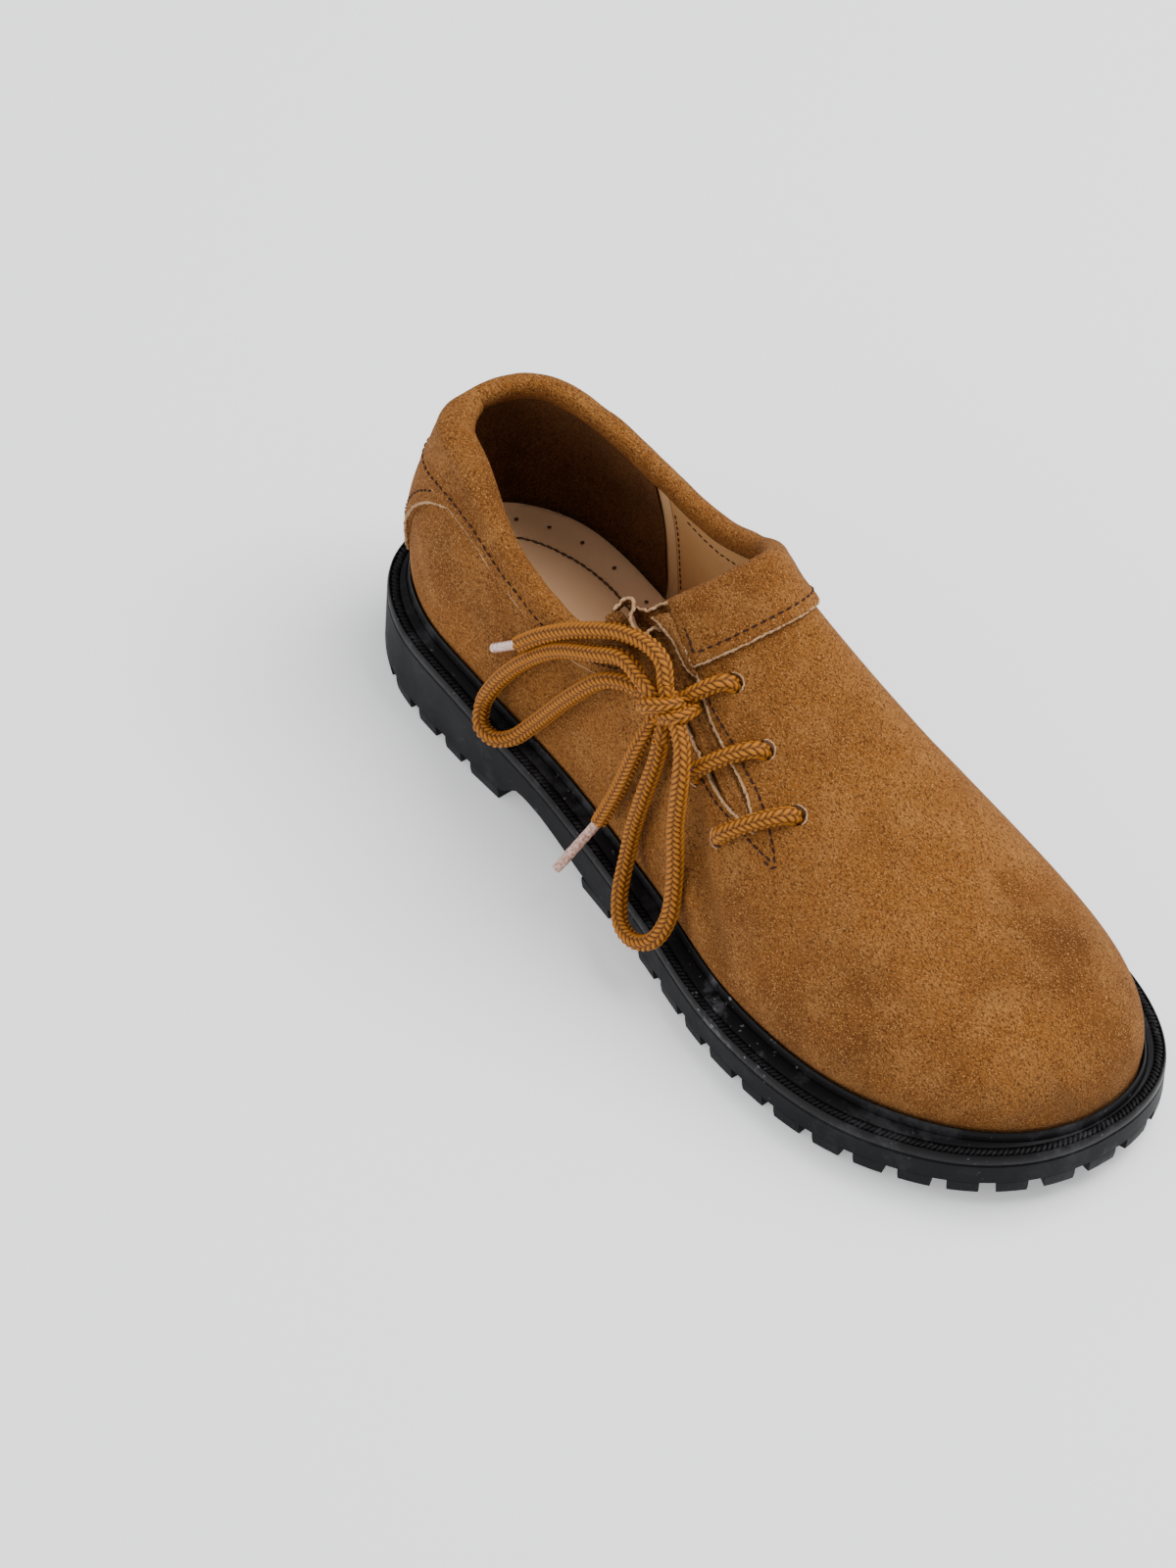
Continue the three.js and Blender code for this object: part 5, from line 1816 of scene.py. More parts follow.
    def band_places(self, count: int, deep: Array, high: Array, moved: Array | float = 0.0,
                    leant: Array | float = 0.0) -> Array:
        """Gives points on the collar.

        Args:
            count: About how many places along it.
            deep: Distances down the outer face, negative over the edge.
            high: Distances off the outer face, one for each of deep.
            moved: How far each of them goes down with the rim, as a share.
            leant: How far each of them leans in with the roll, as a share.

        Returns:
            A grid of points, places by depths.
        """
        turn, side = self._band_path(count)
        at, angle = LAST.collar_spot(turn, side)
        spots = LAST.point(at, angle)
        run = unit(np.gradient(spots, axis=0))
        for _ in range(3):
            run[1:-1] = unit(run[:-2] + run[1:-1] + run[2:])
        face = LAST.normal(at, angle)
        down = unit(np.cross(run, face))
        deep, high = np.asarray(deep, float), np.asarray(high, float)
        grid = (len(turn), len(deep))
        deep = deep[None] + self.rim_drop(turn, side)[:, None] * np.broadcast_to(moved, len(deep))[None]
        far = np.maximum(deep, 0)
        way = np.broadcast_to(down[:, None], (*grid, 3))
        goal_at, goal_angle = LAST.walk(np.broadcast_to(at[:, None], grid),
                                        np.broadcast_to(angle[:, None], grid), way, far)
        places = LAST.point(goal_at, goal_angle)
        places = places + down[:, None] * np.minimum(deep, 0)[..., None]
        high = high[None] - self.rim_lean(turn, side)[:, None] * np.broadcast_to(leant, high.shape)[None]
        return places + LAST.normal(goal_at, goal_angle) * high[..., None]

    def _section(self) -> Array:
        """Gives the collar's smooth section: depth, height and how far each place moves with the rim.

        Returns:
            The section's rows.
        """
        r, lip, depth = self.roll_radius, self.overlay_gap + self.band_thickness, self.collar_depth
        low = r * 0.96 - 4.0
        corners = np.array((
            (depth, self.overlay_gap + 0.1, 0), (depth + 0.15, lip - 0.5, 0), (depth - 0.5, lip, 0),
            (depth * 0.8, lip + 0.02, 0), (depth * 0.62, lip + 0.02, 0.1), (depth * 0.45, lip + 0.2, 0.35),
            (low + r * 1.3, r * 1.02, 0.8), (low + r * 0.5, r * 1.16, 1), (low - r * 0.2, r * 1.02, 1),
            (low - r * 0.7, r * 0.6, 1), (low - r * 0.96, 0, 1), (low - r * 0.86, -r * 0.62, 1),
            (low - r * 0.4, -r * 1.06, 1), (low + r * 0.3, -r * 1.24, 1), (low + r * 1.0, -r * 1.2, 1),
            (low + r * 1.7, -r * 1.06, 1), (low + r * 2.0, -r * 0.5, 1),
            (low + r * 2.1, self.overlay_gap, 0.9), (depth * 0.6, self.overlay_gap, 0.1),
        ))
        place = np.linspace(0, len(corners), 61)[:-1]
        wrapped = np.vstack([corners[-1:], corners, corners[:3]])
        return np.stack([along(wrapped[:, i], place + 1) for i in range(3)], -1)

    def rim_drop(self, turn: Array, side: Array) -> Array:
        """How far the rim lies under the collar line, most on the outer side."""
        deeper = self.outer_drop * smooth((turn - 0.8) / 3.4) * (1 - 0.3 * smooth((turn - 5.0) / 1.0))
        return np.where(side < 0, deeper * (1 - smooth((turn - 6.0) / 0.6)), 0.0)

    def rim_lean(self, turn: Array, side: Array) -> Array:
        """How far the roll leans in over the opening, most at the outer side of the heel."""
        return np.where(side < 0, self.outer_lean * smooth((turn + 0.4) / 1.4)
                        * (1 - smooth((turn - 2.2) / 1.8)), 0.0)

    def make_collar(self, suede: Material) -> Piece:
        """Builds the padded collar with its band.

        Args:
            suede: Its material.

        Returns:
            The piece.
        """
        section = self._section()
        leant = section[:, 2] * smooth((self.roll_radius - section[:, 1]) / (2.0 * self.roll_radius))
        rows = self.band_places(300, section[:, 0], section[:, 1], section[:, 2], leant)
        middle = rows.mean(axis=1, keepdims=True)
        rows = rows + unit(rows - middle) * (0.16 * ripple(rows, 15.0, 5) + 0.1 * ripple(rows, 7.0, 8))[...,
                None]
        front = rows[0] + (rows[0] - rows[1]) * 0.5
        back = rows[-1] + (rows[-1] - rows[-2]) * 0.5
        rows = np.concatenate([
            (front * 0.86 + middle[0] * 0.14)[None], (rows[:1] * 0.97 + middle[:1] * 0.03), rows[1:-1],
            (rows[-1:] * 0.97 + middle[-1:] * 0.03), (back * 0.86 + middle[-1] * 0.14)[None],
        ])
        draft = Draft()
        draft.tube(draft.add(crease(rows)))
        collar = draft.build("collar_suede", [suede], 60)
        return settle(collar, Slot.SUEDE, "collar")

    def stay_places(self, rows: Array, shares: Array, out: float) -> Array:
        """Gives a grid of points on the back stay.

        Args:
            rows: Places down its table.
            shares: Places across, from -1 to 1.
            out: Distance off the outer face.

        Returns:
            The points.
        """
        table = np.array(self.stay)
        rows, shares = np.asarray(rows, float)[:, None], np.asarray(shares, float)[None]
        at = np.abs(shares) * along(table[:, 1], rows)
        turn = LAST.collar_turn(at)
        cone = LAST.cone_height * along(LAST.height, at)
        lift = np.radians(np.where(shares < 0, along(LAST.collar_lateral, turn),
                                   along(LAST.collar_medial, turn)))
        rise = (cone * np.sin(lift) - self.collar_depth - self.overlay_gap) * along(table[:, 0],
                rows) * self.stay_tuck
        side = np.where(shares < 0, -1, 1)
        return LAST.point(at, side * (90 - np.degrees(np.arcsin(rise / cone))), out)

    def make_stay(self, suede: Material) -> Piece:
        """Builds the back stay.

        Args:
            suede: Its material.

        Returns:
            The piece.
        """
        rows, shares = np.linspace(0, len(self.stay) - 1, 60), np.linspace(-1, 1, 81)
        outer = self.stay_places(rows, shares, self.overlay_gap + self.stay_thickness)
        inner = self.stay_places(rows, shares, self.overlay_gap - 0.5)
        draft = Draft()
        draft.sheet(crease(outer), crease(inner))
        return settle(draft.build("back_stay_suede", [suede], 60), Slot.SUEDE, "back_stay")


    def gusset_places(self, rows: Array, shares: Array, out: float) -> Array:
        """Gives a grid of points on the gusset, folded where it comes up through the gap.

        Args:
            rows: Places along the gusset.
            shares: Places across it, from -1 to 1.
            out: The distance off the outer face.

        Returns:
            The points.
        """
        table = np.array(self.gusset)
        rows = np.asarray(rows, float)
        at, angle = along(table[:, 0], rows), along(table[:, 1], rows)
        last = len(table) - 1
        ahead, behind = np.minimum(rows + 0.2, last), np.maximum(rows - 0.2, 0)
        run = unit(
            LAST.point(along(table[:, 0], ahead), along(table[:, 1], ahead))
            - LAST.point(along(table[:, 0], behind), along(table[:, 1], behind))
        )
        across = unit(np.cross(run, LAST.normal(at, angle)))
        deep = -self.wall - self.overlay_gap
        rise = deep + (self.overlay_gap - deep) * np.maximum(0, along(table[:, 3], rows))
        reach = self.gusset_half * along(table[:, 2], rows)[:, None] * np.asarray(shares)[None]
        grid = reach.shape
        way = np.broadcast_to(across[:, None], (*grid, 3))
        spot_at, spot_angle = LAST.walk(np.broadcast_to(at[:, None], grid),
                                        np.broadcast_to(angle[:, None], grid), way, reach)
        places = LAST.point(spot_at, spot_angle, rise[:, None] + out)
        frill = smooth((rows - 4.7) / 1.1)[:, None]
        shares = np.asarray(shares, float)[None]
        sway = frill * 1.3 * np.cos(shares * 8.5 + 0.6)
        spread = reach * frill * 0.75 + sway
        wave = frill * (0.3 + 1.2 * np.sin(shares * 6.6 + 0.8 + rows[:, None] * 0.5) + 0.8 * shares**2)
        pinch = smooth((rows - 0.85) / 0.55)[:, None] * (1 - frill)
        folds = 2.8 * np.exp(-(((reach - 0.9) / 1.7) ** 2)) + 2.6 * np.exp(-(((reach + 2.5) / 1.5) ** 2))
        open_at = 0.9 * np.exp(-(((rows - 2.2) / 0.3) ** 2)) + 0.6 * np.exp(-(((rows - 3.0) / 0.25) ** 2))
        folds = folds + 2.5 * (1 - open_at)[:, None] * np.exp(-(((reach + 4.9) / 1.4) ** 2))
        crinkle = 0.3 * ripple(places, 5.0, 21)
        lifted = wave + pinch * folds + crinkle
        return places + way * spread[..., None] + LAST.normal(spot_at, spot_angle) * lifted[..., None]

    def make_gusset(self, suede: Material) -> Piece:
        """Builds the gusset behind the slit.

        Args:
            suede: Its material.

        Returns:
            The piece.
        """
        rows, shares = np.linspace(0, len(self.gusset) - 1, 120), np.linspace(-1, 1, 73)
        draft = Draft()
        draft.sheet(self.gusset_places(rows, shares, 0.0),
                    self.gusset_places(rows, shares, -self.gusset_thickness))
        self._frill(draft)
        return settle(draft.build("gusset_suede", [suede], 60), Slot.SUEDE, "gusset")

    def _flap_lines(self) -> list[list[Array]]:
        """Gives the raw and the sewn side of each flap that the gusset's end makes.

        Returns:
            The pairs of lines.
        """
        return [
            [np.stack([along(column, np.linspace(0, len(route) - 1, 50)) for column in np.array(route).T], 1)
             for route in flap]
            for flap in self.flaps
        ]

    def _frill(self, draft: Draft) -> None:
        """Adds the gusset's crumpled end, which falls away into the shoe from its pale edges.

        Args:
            draft: The draft.
        """
        fall = np.array(self.frill_fall)
        share = np.linspace(0, 1, 8)[None, :, None]
        for route in self.frills:
            line = curve_through(np.array(route), 0.5)
            side = unit(np.cross(np.gradient(line, axis=0), fall))[:, None] * 0.4
            sheet = line[:, None] + fall * share + 0.5 * np.sin(share * 5.0) * side
            draft.sheet(sheet + side, sheet - side)
        share = np.linspace(0, 1, 12)[None, :, None]
        face = unit(-fall)
        for raw, sewn in self._flap_lines():
            sheet = raw[:, None] * (1 - share) + sewn[:, None] * share + face * 1.3 * np.sin(math.pi * share)
            draft.sheet(sheet + face * 0.1, sheet - face * 1.3)

    def make_raw_edges(self, finish: Material) -> Piece:
        """Makes the pale furry lines along every cut edge, wider where the cut faces the light.

        Args:
            finish: Its material.

        Returns:
            The piece.
        """
        vamp_at, vamp, quarter_at, quarter = self.slit_lines(80)
        lip = self.overlay_gap + self.band_thickness
        wide = [LAST.point(vamp_at[14:], vamp[14:], -0.1)]
        thin = [LAST.point(quarter_at[40:], quarter[40:], 0.2)]
        wide.append(LAST.point(quarter_at[24:], quarter[24:], -0.1))
        count = 300
        band = self.band_places(count, [self.collar_depth + 0.18], [lip - 0.62])[:, 0]
        _, side = self._band_path(count)
        front = np.flatnonzero(side > 0)[0] + round(count * 0.2)
        wide.append(band[:front])
        thin.append(band[front:])
        down = np.linspace(2, self.collar_depth, 14)
        ends = self.band_places(count, down, np.full(14, lip - 0.4))
        wide += [ends[0], ends[-1]]
        rows = np.linspace(0.1, len(self.stay) - 1, 60)
        for share in (-1.0, 1.0):
            wide.append(self.stay_places(rows, [share], self.overlay_gap + 0.8)[:, 0])
        wide += [curve_through(np.array(route), 0.5) for route in self.frills] + [self._flap_lines()[0][0]]
        thin += self._eyelet_arcs()
        piece = frayed("raw_edges", [crease(line) for line in wide], 0.46, finish, 17)
        absorb(piece, frayed("raw_edges_thin", [crease(line) for line in thin], 0.25, finish, 18))
        return settle(piece, Slot.SUEDE)

    def _eyelet_arcs(self) -> list[Array]:
        """Gives the pale arcs at the far side of each punched hole.

        Returns:
            The arcs.
        """
        found = []
        for vamp_at, vamp, quarter_at, quarter in self.eyelets:
            one, two = LAST.point(vamp_at, vamp), LAST.point(quarter_at, quarter)
            for middle, other, at, angle in ((one, two, vamp_at, vamp), (two, one, quarter_at, quarter)):
                face = LAST.normal(at, angle)
                away = unit(middle - other)
                away = unit(away - face * (away @ face))
                side = np.cross(face, away)
                turn = np.linspace(-1.35, 1.35, 22)[:, None]
                found.append(middle + (np.cos(turn) * away + np.sin(turn) * side)
                             * (self.eyelet_radius + 0.1))
        return found

    def make_stitches(self, rows: RowTree, finish: Material) -> Piece:
        """Sews the visible rows.

        Args:
            rows: The tree that sets rows.
            finish: Its material.

        Returns:
            The piece.
        """
        found = []
        lip = self.overlay_gap + self.band_thickness
        band = crease(self.band_places(300, [self.collar_depth - 3.0, self.collar_depth - 3.6],
                                       [lip + 0.05, lip + 0.05]))
        edge = crease(self.band_places(300, [self.collar_depth - 3.0], [lip + 1.05]))
        found.append(row_along(band[3:-3, 0], unit(edge - band[:, :1])[3:-3, 0], self.seam_pitch, 0.1))
        place = np.linspace(0.3, len(self.stay) - 1.1, 70)
        for sign in (-1, 1):
            low = crease(self.stay_places(place, [sign * 0.87], self.overlay_gap + self.stay_thickness))[:, 0]
            high = crease(self.stay_places(place, [sign * 0.87],
                                           self.overlay_gap + self.stay_thickness + 1))[:, 0]
            found.append(row_along(low, unit(high - low), self.seam_pitch, 0.1))
        for route in (self.vamp_row, self.quarter_row):
            table = np.array(route)
            place = np.linspace(0, len(table) - 1, 90)
            at, angle = along(table[:, 0], place), along(table[:, 1], place)
            line = crease(LAST.point(at, angle))
            found.append(row_along(line, LAST.normal(at, angle), self.slit_pitch, 0.12))
        ends = self.band_places(300, np.linspace(3, 13, 12), np.full(12, lip + 0.25))
        more = self.band_places(300, np.linspace(3, 13, 12), np.full(12, lip + 1.25))
        line = crease(ends[2])
        found.append(row_along(line, unit(crease(more[2]) - line), self.end_pitch, 0.1))
        return settle(rows.set_row("seam_stitches", found, self.stitch, finish, 0.12, 5), Slot.SUEDE)


@dataclass(frozen=True)
class Inside:
    """The insole, its sock and the linings."""

    top: float = 7.0
    shrink: float = -3.7
    seam_at: float = 3.07
    sock_inset: float = 11.5
    sock_end: float = 5.6
    stitch: tuple = (2.0, 0.5, 0.4)

    def _plan(self, out: float, count: int) -> tuple[Array, Array]:
        """Gives a ring of the floor inside the wall, moved in, and its stations.

        Args:
            out: How far it is moved in.
            count: How many places.

        Returns:
            The ring and its stations.
        """
        at, side = ring_of(np.linspace(0, LAST.turns, count))
        ring = LAST.point(at, side * 90, out)
        ring[:, 2] = LAST.welt_top(at)
        return ring, at

    def make_insole(self, finish: Material) -> Piece:
        """Builds the insole with a slight dish and a soft edge.

        Args:
            finish: Its material.

        Returns:
            The piece.
        """
        outer, at = self._plan(self.shrink, 120)
        ridge = outer.copy()
        ridge[:, 1] = LAST.ball_width * along(LAST.ridge, at)
        draft = Draft()
        loops = []
        for lift, inward in ((0.3, 0.0), (self.top - 1.0, 0.0), (self.top - 0.25, 0.25)):
            ring = outer + unit(ridge - outer) * inward
            ring[:, 2] += lift
            loops.append(ring)
        for share in np.linspace(0.04, 1.0, 14):
            ring = outer + (ridge - outer) * share
            ring[:, 2] = LAST.welt_top(at) + self.top - 1.1 * smooth(share * 2.2)
            loops.append(ring)
        numbers = np.array([draft.add(loop) for loop in loops])
        draft.skin(numbers, closed=True)
        draft.strips(numbers[0])
        return settle(draft.build("insole_leather", [finish], 50), Slot.INSOLE, "insole")

    def _sock_ring(self, extra: float) -> Array:
        """Gives the sock's outline on the insole.

        Args:
            extra: How far it is moved out.

        Returns:
            The outline.
        """
        at, side = ring_of(np.linspace(0.0, self.sock_end, 90))
        ring = LAST.point(at, side * 90, self.shrink - self.sock_inset - extra)
        ring[:, 2] = LAST.welt_top(at) + self.top - 1.05
        return ring

    def make_sock(self, finish: Material) -> Piece:
        """Builds the leather sock that lies on the insole.

        Args:
            finish: Its material.

        Returns:
            The piece.
        """
        draft = Draft()
        ring = self._sock_ring(0.0)
        middle = ring.copy()
        middle[:, 1] = 0
        loops = []
        for share, lift in ((0.0, -0.3), (0.0, 0.45), (0.02, 0.62), (0.3, 0.6), (0.6, 0.6), (0.97, 0.6)):
            loop = ring + (middle - ring) * share
            loop[:, 2] += lift
            loops.append(loop)
        add_stack(draft, loops)
        return settle(draft.build("sock_leather", [finish], 50), Slot.INSOLE)

    def make_marks(self, rows: RowTree, finish: Material) -> Piece:
        """Sews the sock's edge and sets dark dots of painted shade for the lasting pins' holes.

        Args:
            rows: The tree that sets rows.
            finish: Its material.

        Returns:
            The piece.
        """
        up = (0.0, 0.0, 1.0)
        ring = self._sock_ring(1.4)
        ring = ring + np.stack([ripple(ring, 22, 3), ripple(ring, 17, 4), np.zeros(len(ring))], -1) * 0.55
        ring[:, 2] += 0.62
        stitched = row_along(ring, np.tile(up, (len(ring), 1)), 2.3, 0.12)
        at = np.array([0.9, 1.45, 1.95, 2.45, 2.95, 3.4, 3.8])
        pins = LAST.point(at, 90, self.shrink - 6.0)
        pins[:, 2] = LAST.welt_top(at) + self.top - 0.35
        more = LAST.point(at, -90, self.shrink - 6.0)
        more[:, 2] = pins[:, 2]
        holes = np.concatenate([pins, more])
        facing = np.tile(up, (len(holes), 1))
        sewn = rows.set_row("insole_stitches", [stitched], (2.7, 0.8, 0.5), finish, 0.15, 9)
        # The pinholes are dark dots on the insole: painted shade where the holes are.
        dots = rows.set_row("insole_pinholes", [(holes, np.tile((1.0, 0.0, 0.0), (len(holes), 1)), facing)],
                            (1.2, 1.2, 0.5), finish, 0.2, 4)
        settle(dots, Slot.INSOLE)
        return settle(sewn, Slot.INSOLE)

    def _lining(self, at: Array, side: Array, out: float, upper: Upper) -> Array:
        """Gives a grid on the inner wall from the insole up to the collar.

        Args:
            at: Stations.
            side: The side, -1 outer, 1 inner.
            out: The distance off the inner face.
            upper: The upper.

        Returns:
            The points.
        """
        _, top = upper.rim(LAST.collar_turn(at), side)
        t = np.linspace(0, 1, 30)[:, None]
        angle = side * 89.5 + (top - side * 89.5) * t
        return LAST.point(np.broadcast_to(at, angle.shape), angle, out)

    def make_lining(self, finish: Material, upper: Upper) -> Piece:
        """Builds the dark heel lining over the wall's inner face.

        Args:
            finish: Its material.
            upper: The upper.

        Returns:
            The piece.
        """
        at = np.concatenate([np.linspace(self.seam_at, 0, 60), np.linspace(0, self.seam_at, 60)[1:]])
        side = np.concatenate([-np.ones(60), np.ones(59)])
        outer = self._lining(at, side, -upper.wall - 0.05, upper)
        inner = self._lining(at, side, -upper.wall - 0.85, upper)
        inner = inner + ripple(inner, 24, 6)[..., None] * 0.12
        draft = Draft()
        draft.sheet(crease(outer), crease(inner))
        return settle(draft.build("heel_lining", [finish], 60), Slot.SUEDE)

    def make_facing(self, finish: Material, upper: Upper) -> Piece:
        """Builds the folded strip where the dark lining meets the smooth one.

        Args:
            finish: Its material.
            upper: The upper.

        Returns:
            The piece.
        """
        draft = Draft()
        for side in (-1, 1):
            at = np.linspace(self.seam_at + 0.015, self.seam_at + 0.16, 7)[None]
            t = np.linspace(0, 1, 30)[:, None]
            _, top = upper.rim(LAST.collar_turn(at), side)
            angle = side * 89.0 + (top - side * 89.0) * t
            swell = 0.45 * np.sin(math.pi * np.linspace(0.04, 0.96, 7))[None]
            spots = LAST.point(np.broadcast_to(at, angle.shape), angle, -upper.wall - 0.12 - swell)
            behind = LAST.point(np.broadcast_to(at, angle.shape), angle, -upper.wall + 0.2)
            draft.sheet(crease(spots), crease(behind))
        return settle(draft.build("lining_strip", [finish], 60), Slot.INSOLE)

    def make_lining_stitches(self, rows: RowTree, finish: Material, upper: Upper) -> Piece:
        """Sews the linings' seams.

        Args:
            rows: The tree that sets rows.
            finish: Its material.
            upper: The upper.

        Returns:
            The piece.
        """
        found = []
        for side in (-1, 1):
            lift = np.linspace(6, 25, 40)
            at = np.full(40, self.seam_at + 0.2)
            low = LAST.point(at, side * (90 - lift), -upper.wall)
            found.append(row_along(low, -LAST.normal(at, side * (90 - lift)), 2.6, 0.1))
            turn = np.linspace(4.3, 7.2 if side > 0 else 5.4, 60)
            at, angle = LAST.collar_spot(turn, side, 7.4)
            low = LAST.point(at, angle, -upper.wall)
            found.append(row_along(low, -LAST.normal(at, angle), 2.6, 0.1))
        found = [(crease(points), run, face) for points, run, face in found]
        return settle(rows.set_row("lining_stitches", found, self.stitch, finish, 0.12, 6), Slot.SUEDE)


# The lace


@dataclass(frozen=True)
class Lacing:
    """The round braided lace: three bars, a knot, two bows and two ends with aglets."""

    diameter: float = 4.7
    aglet_diameter: float = 2.9
    columns: int = 6
    strand_length: float = 1.8
    lean: float = 0.95
    relief: float = 0.74
    step: float = 0.34
    sides: int = 42
    gap: float = 0.3
    knot_at: tuple = (135.9, -30.2, 81.3)
    heel_loop: tuple = (
        (125.9, -31.6, 81.8), (119.6, -32.8, 79.8), (113.2, -34.4, 75.6), (102.7, -36.6, 61.2),
        (89.6, -38.2, 39.6), (83.6, -40.6, 30.6), (78.4, -42.6, 27.2), (72.8, -42.6, 27.4),
        (69.6, -39.8, 31.4), (71.4, -38.6, 38.6), (79.8, -36.6, 54.2), (94, -35.2, 71.6), (109, -33.8, 82.4),
        (118.6, -32, 87.4), (127, -32.4, 86.6),
    )
    toe_loop: tuple = (
        (142.2, -32, 82), (148, -34.8, 79.6), (151.6, -37.6, 74.6), (153.6, -39.8, 66.4), (154.6, -41, 57.6),
        (159.2, -44, 42.2), (161.6, -47.6, 30), (160, -51.2, 22.4), (154.4, -52.8, 18.2),
        (147.4, -51.8, 17.8), (141.4, -47.8, 21.8), (137.4, -42.6, 30.6), (137, -40.4, 42),
        (138.2, -38.8, 53.6), (139, -35.6, 67.6), (138.6, -34.2, 73.6),
    )
    heel_end: tuple = (
        (133.8, -29.6, 88.8), (130.4, -28, 93.2), (125.2, -27.6, 94.6), (114.6, -28.8, 92.2),
        (101.3, -32.4, 84.4), (88.6, -35.6, 73.4), (80.8, -37.4, 64.2),
    )
    toe_end: tuple = (
        (133.2, -33.6, 74.4), (132.2, -35.8, 68.6), (131.2, -37.2, 62.6), (129.2, -39, 51.8),
        (126, -40.6, 40), (123.6, -41.4, 32.6),
    )
    heel_tip: tuple = (68.4, -35.9, 51)
    toe_tip: tuple = (122.6, -55.4, 20.7)
    right: tuple = (0.621, 0.783, 0.041)
    up: tuple = (-0.595, 0.436, 0.675)
    toward: tuple = (0.510, -0.443, 0.737)
    wraps: tuple = (
        (
            (-6.4, 0.6, -1.5), (-6.2, 0.9, 1.8), (-4.4, 0.9, 4.4), (-1.1, 0.9, 5.6), (1.2, 1.1, 5.4),
            (3.2, 1.4, 3.6), (4.0, 1.8, 0.4),
        ),
        (
            (-1.2, -2.4, 1.5), (0.2, -2.4, 4.4), (2.7, -2.4, 6.2), (5.1, -1.5, 5.6), (6.9, -0.2, 3.2),
            (7.2, 0.6, 0.0),
        ),
    )
    cores: tuple = (
        ((-5.4, -0.4, -2.4), (-2.0, -0.2, 0.6), (2.0, -0.4, 2.0), (5.4, -0.4, -0.6)),
        ((-4.0, -2.6, -3.4), (-1.0, -1.6, -2.0), (2.4, 1.2, -1.6), (2.2, 3.0, -3.0)),
        ((-4.6, 2.6, -2.6), (-2.0, 3.0, 0.4), (1.4, 3.0, 1.0), (3.6, 2.6, -1.4)),
    )
    knot_share: float = 0.88
    bar_start: float = 0.42

    def _weave(self, line: Array, sides: int) -> tuple[Array, Array]:
        """Gives a braid's radii and how proud each point's strand stands.

        Args:
            line: Points along the middle line.
            sides: How many sides the tube has.

        Returns:
            The radii and the strand heights.
        """
        reach = reach_of(line)
        column = np.linspace(0, self.columns, sides, endpoint=False)[None] + 0.5 / sides * self.columns
        lean = np.where(np.floor(column) % 2 < 0.5, 1.0, -1.0)
        across = column % 1 - 0.5
        ahead = (reach[:, None] / self.strand_length + lean * (across * self.lean + 0.25)) % 1 - 0.5
        swell = np.cos(math.pi * across) ** 0.36 * np.cos(math.pi * ahead) ** 0.75
        grown = self.diameter / 2 - self.relief * 0.75 + self.relief * swell
        return grown, swell

    def braid(self, draft: Draft, line: Array, strands: list[Array], share: float | Array = 1.0) -> None:
        """Adds a braided tube to a draft and its strand heights to a list.

        Args:
            draft: The draft.
            line: Points along the middle line.
            strands: The strand heights so far.
            share: The thickness as a share of the whole.
        """
        radius, swell = self._weave(line, self.sides)
        add_tube(draft, line, radius * np.reshape(share, (-1, 1)), self.sides)
        strands.append(swell.ravel())

    def make_run(self, name: str, line: Array, finish: Material) -> Piece:
        """Builds one run of lace as its own piece.

        Args:
            name: Its name.
            line: Points along the middle line.
            finish: Its material.

        Returns:
            The piece.
        """
        draft, strands = Draft(), []
        self.braid(draft, line, strands)
        return self._finish(draft, name, strands, finish)

    @staticmethod
    def _finish(draft: Draft, name: str, strands: list[Array], finish: Material) -> Piece:
        """Builds a draft of braided tubes and stores the strand heights by place.

        Args:
            draft: The draft.
            name: Its name.
            strands: The strand heights so far.
            finish: Its material.

        Returns:
            The piece.
        """
        piece = draft.build(name, [finish], 70)
        spots, heights = np.concatenate(draft.points), np.concatenate(strands)
        known = {tuple(np.round(spot, 3)): value for spot, value in zip(spots, heights)}
        values = [known.get(tuple(np.round(spot, 3)), 0.6) for spot in places_of(piece)]
        paint(piece, "strand", np.array(values))
        return piece

    def bar_line(self, row: int, upper: Upper, start: float) -> Array:
        """Gives the middle line of a bar from the quarter to the vamp.

        Args:
            row: The bar's number from the top.
            upper: The upper.
            start: Where on its way it starts.

        Returns:
            The line.
        """
        vamp_at, vamp, quarter_at, quarter = upper.eyelets[row]
        seat = self.diameter / 2 + self.gap
        spots = []
        places = [(start, None)] if start > 0.1 else [(0.03, -3.4), (0.035, -0.4), (0.07, 1.7)]
        places += [(t, None) for t in np.linspace(start + 0.16, 0.84, 8)]
        places += [(0.93, 1.7), (0.965, -0.4), (0.97, -3.4)]
        for t, out in places:
            arch = 0.12 * self.diameter * math.sin(math.pi * min(max(t, 0), 1))
            out = seat + arch if out is None else out
            spots.append(LAST.point(quarter_at + (vamp_at - quarter_at) * t, quarter + (vamp - quarter) * t,
                                    out))
        return curve_through(np.array(spots), self.step)

    def make_bars(self, upper: Upper, finish: Material) -> None:
        """Builds the bars across the slit.

        Args:
            upper: The upper.
            finish: Its material.
        """
        for row in range(len(upper.eyelets)):
            line = self.bar_line(row, upper, self.bar_start if row == 0 else 0.0)
            settle(self.make_run(f"braid_bar_{row + 1}", line, finish), Slot.LACE, f"lace_bar_{row + 1}")

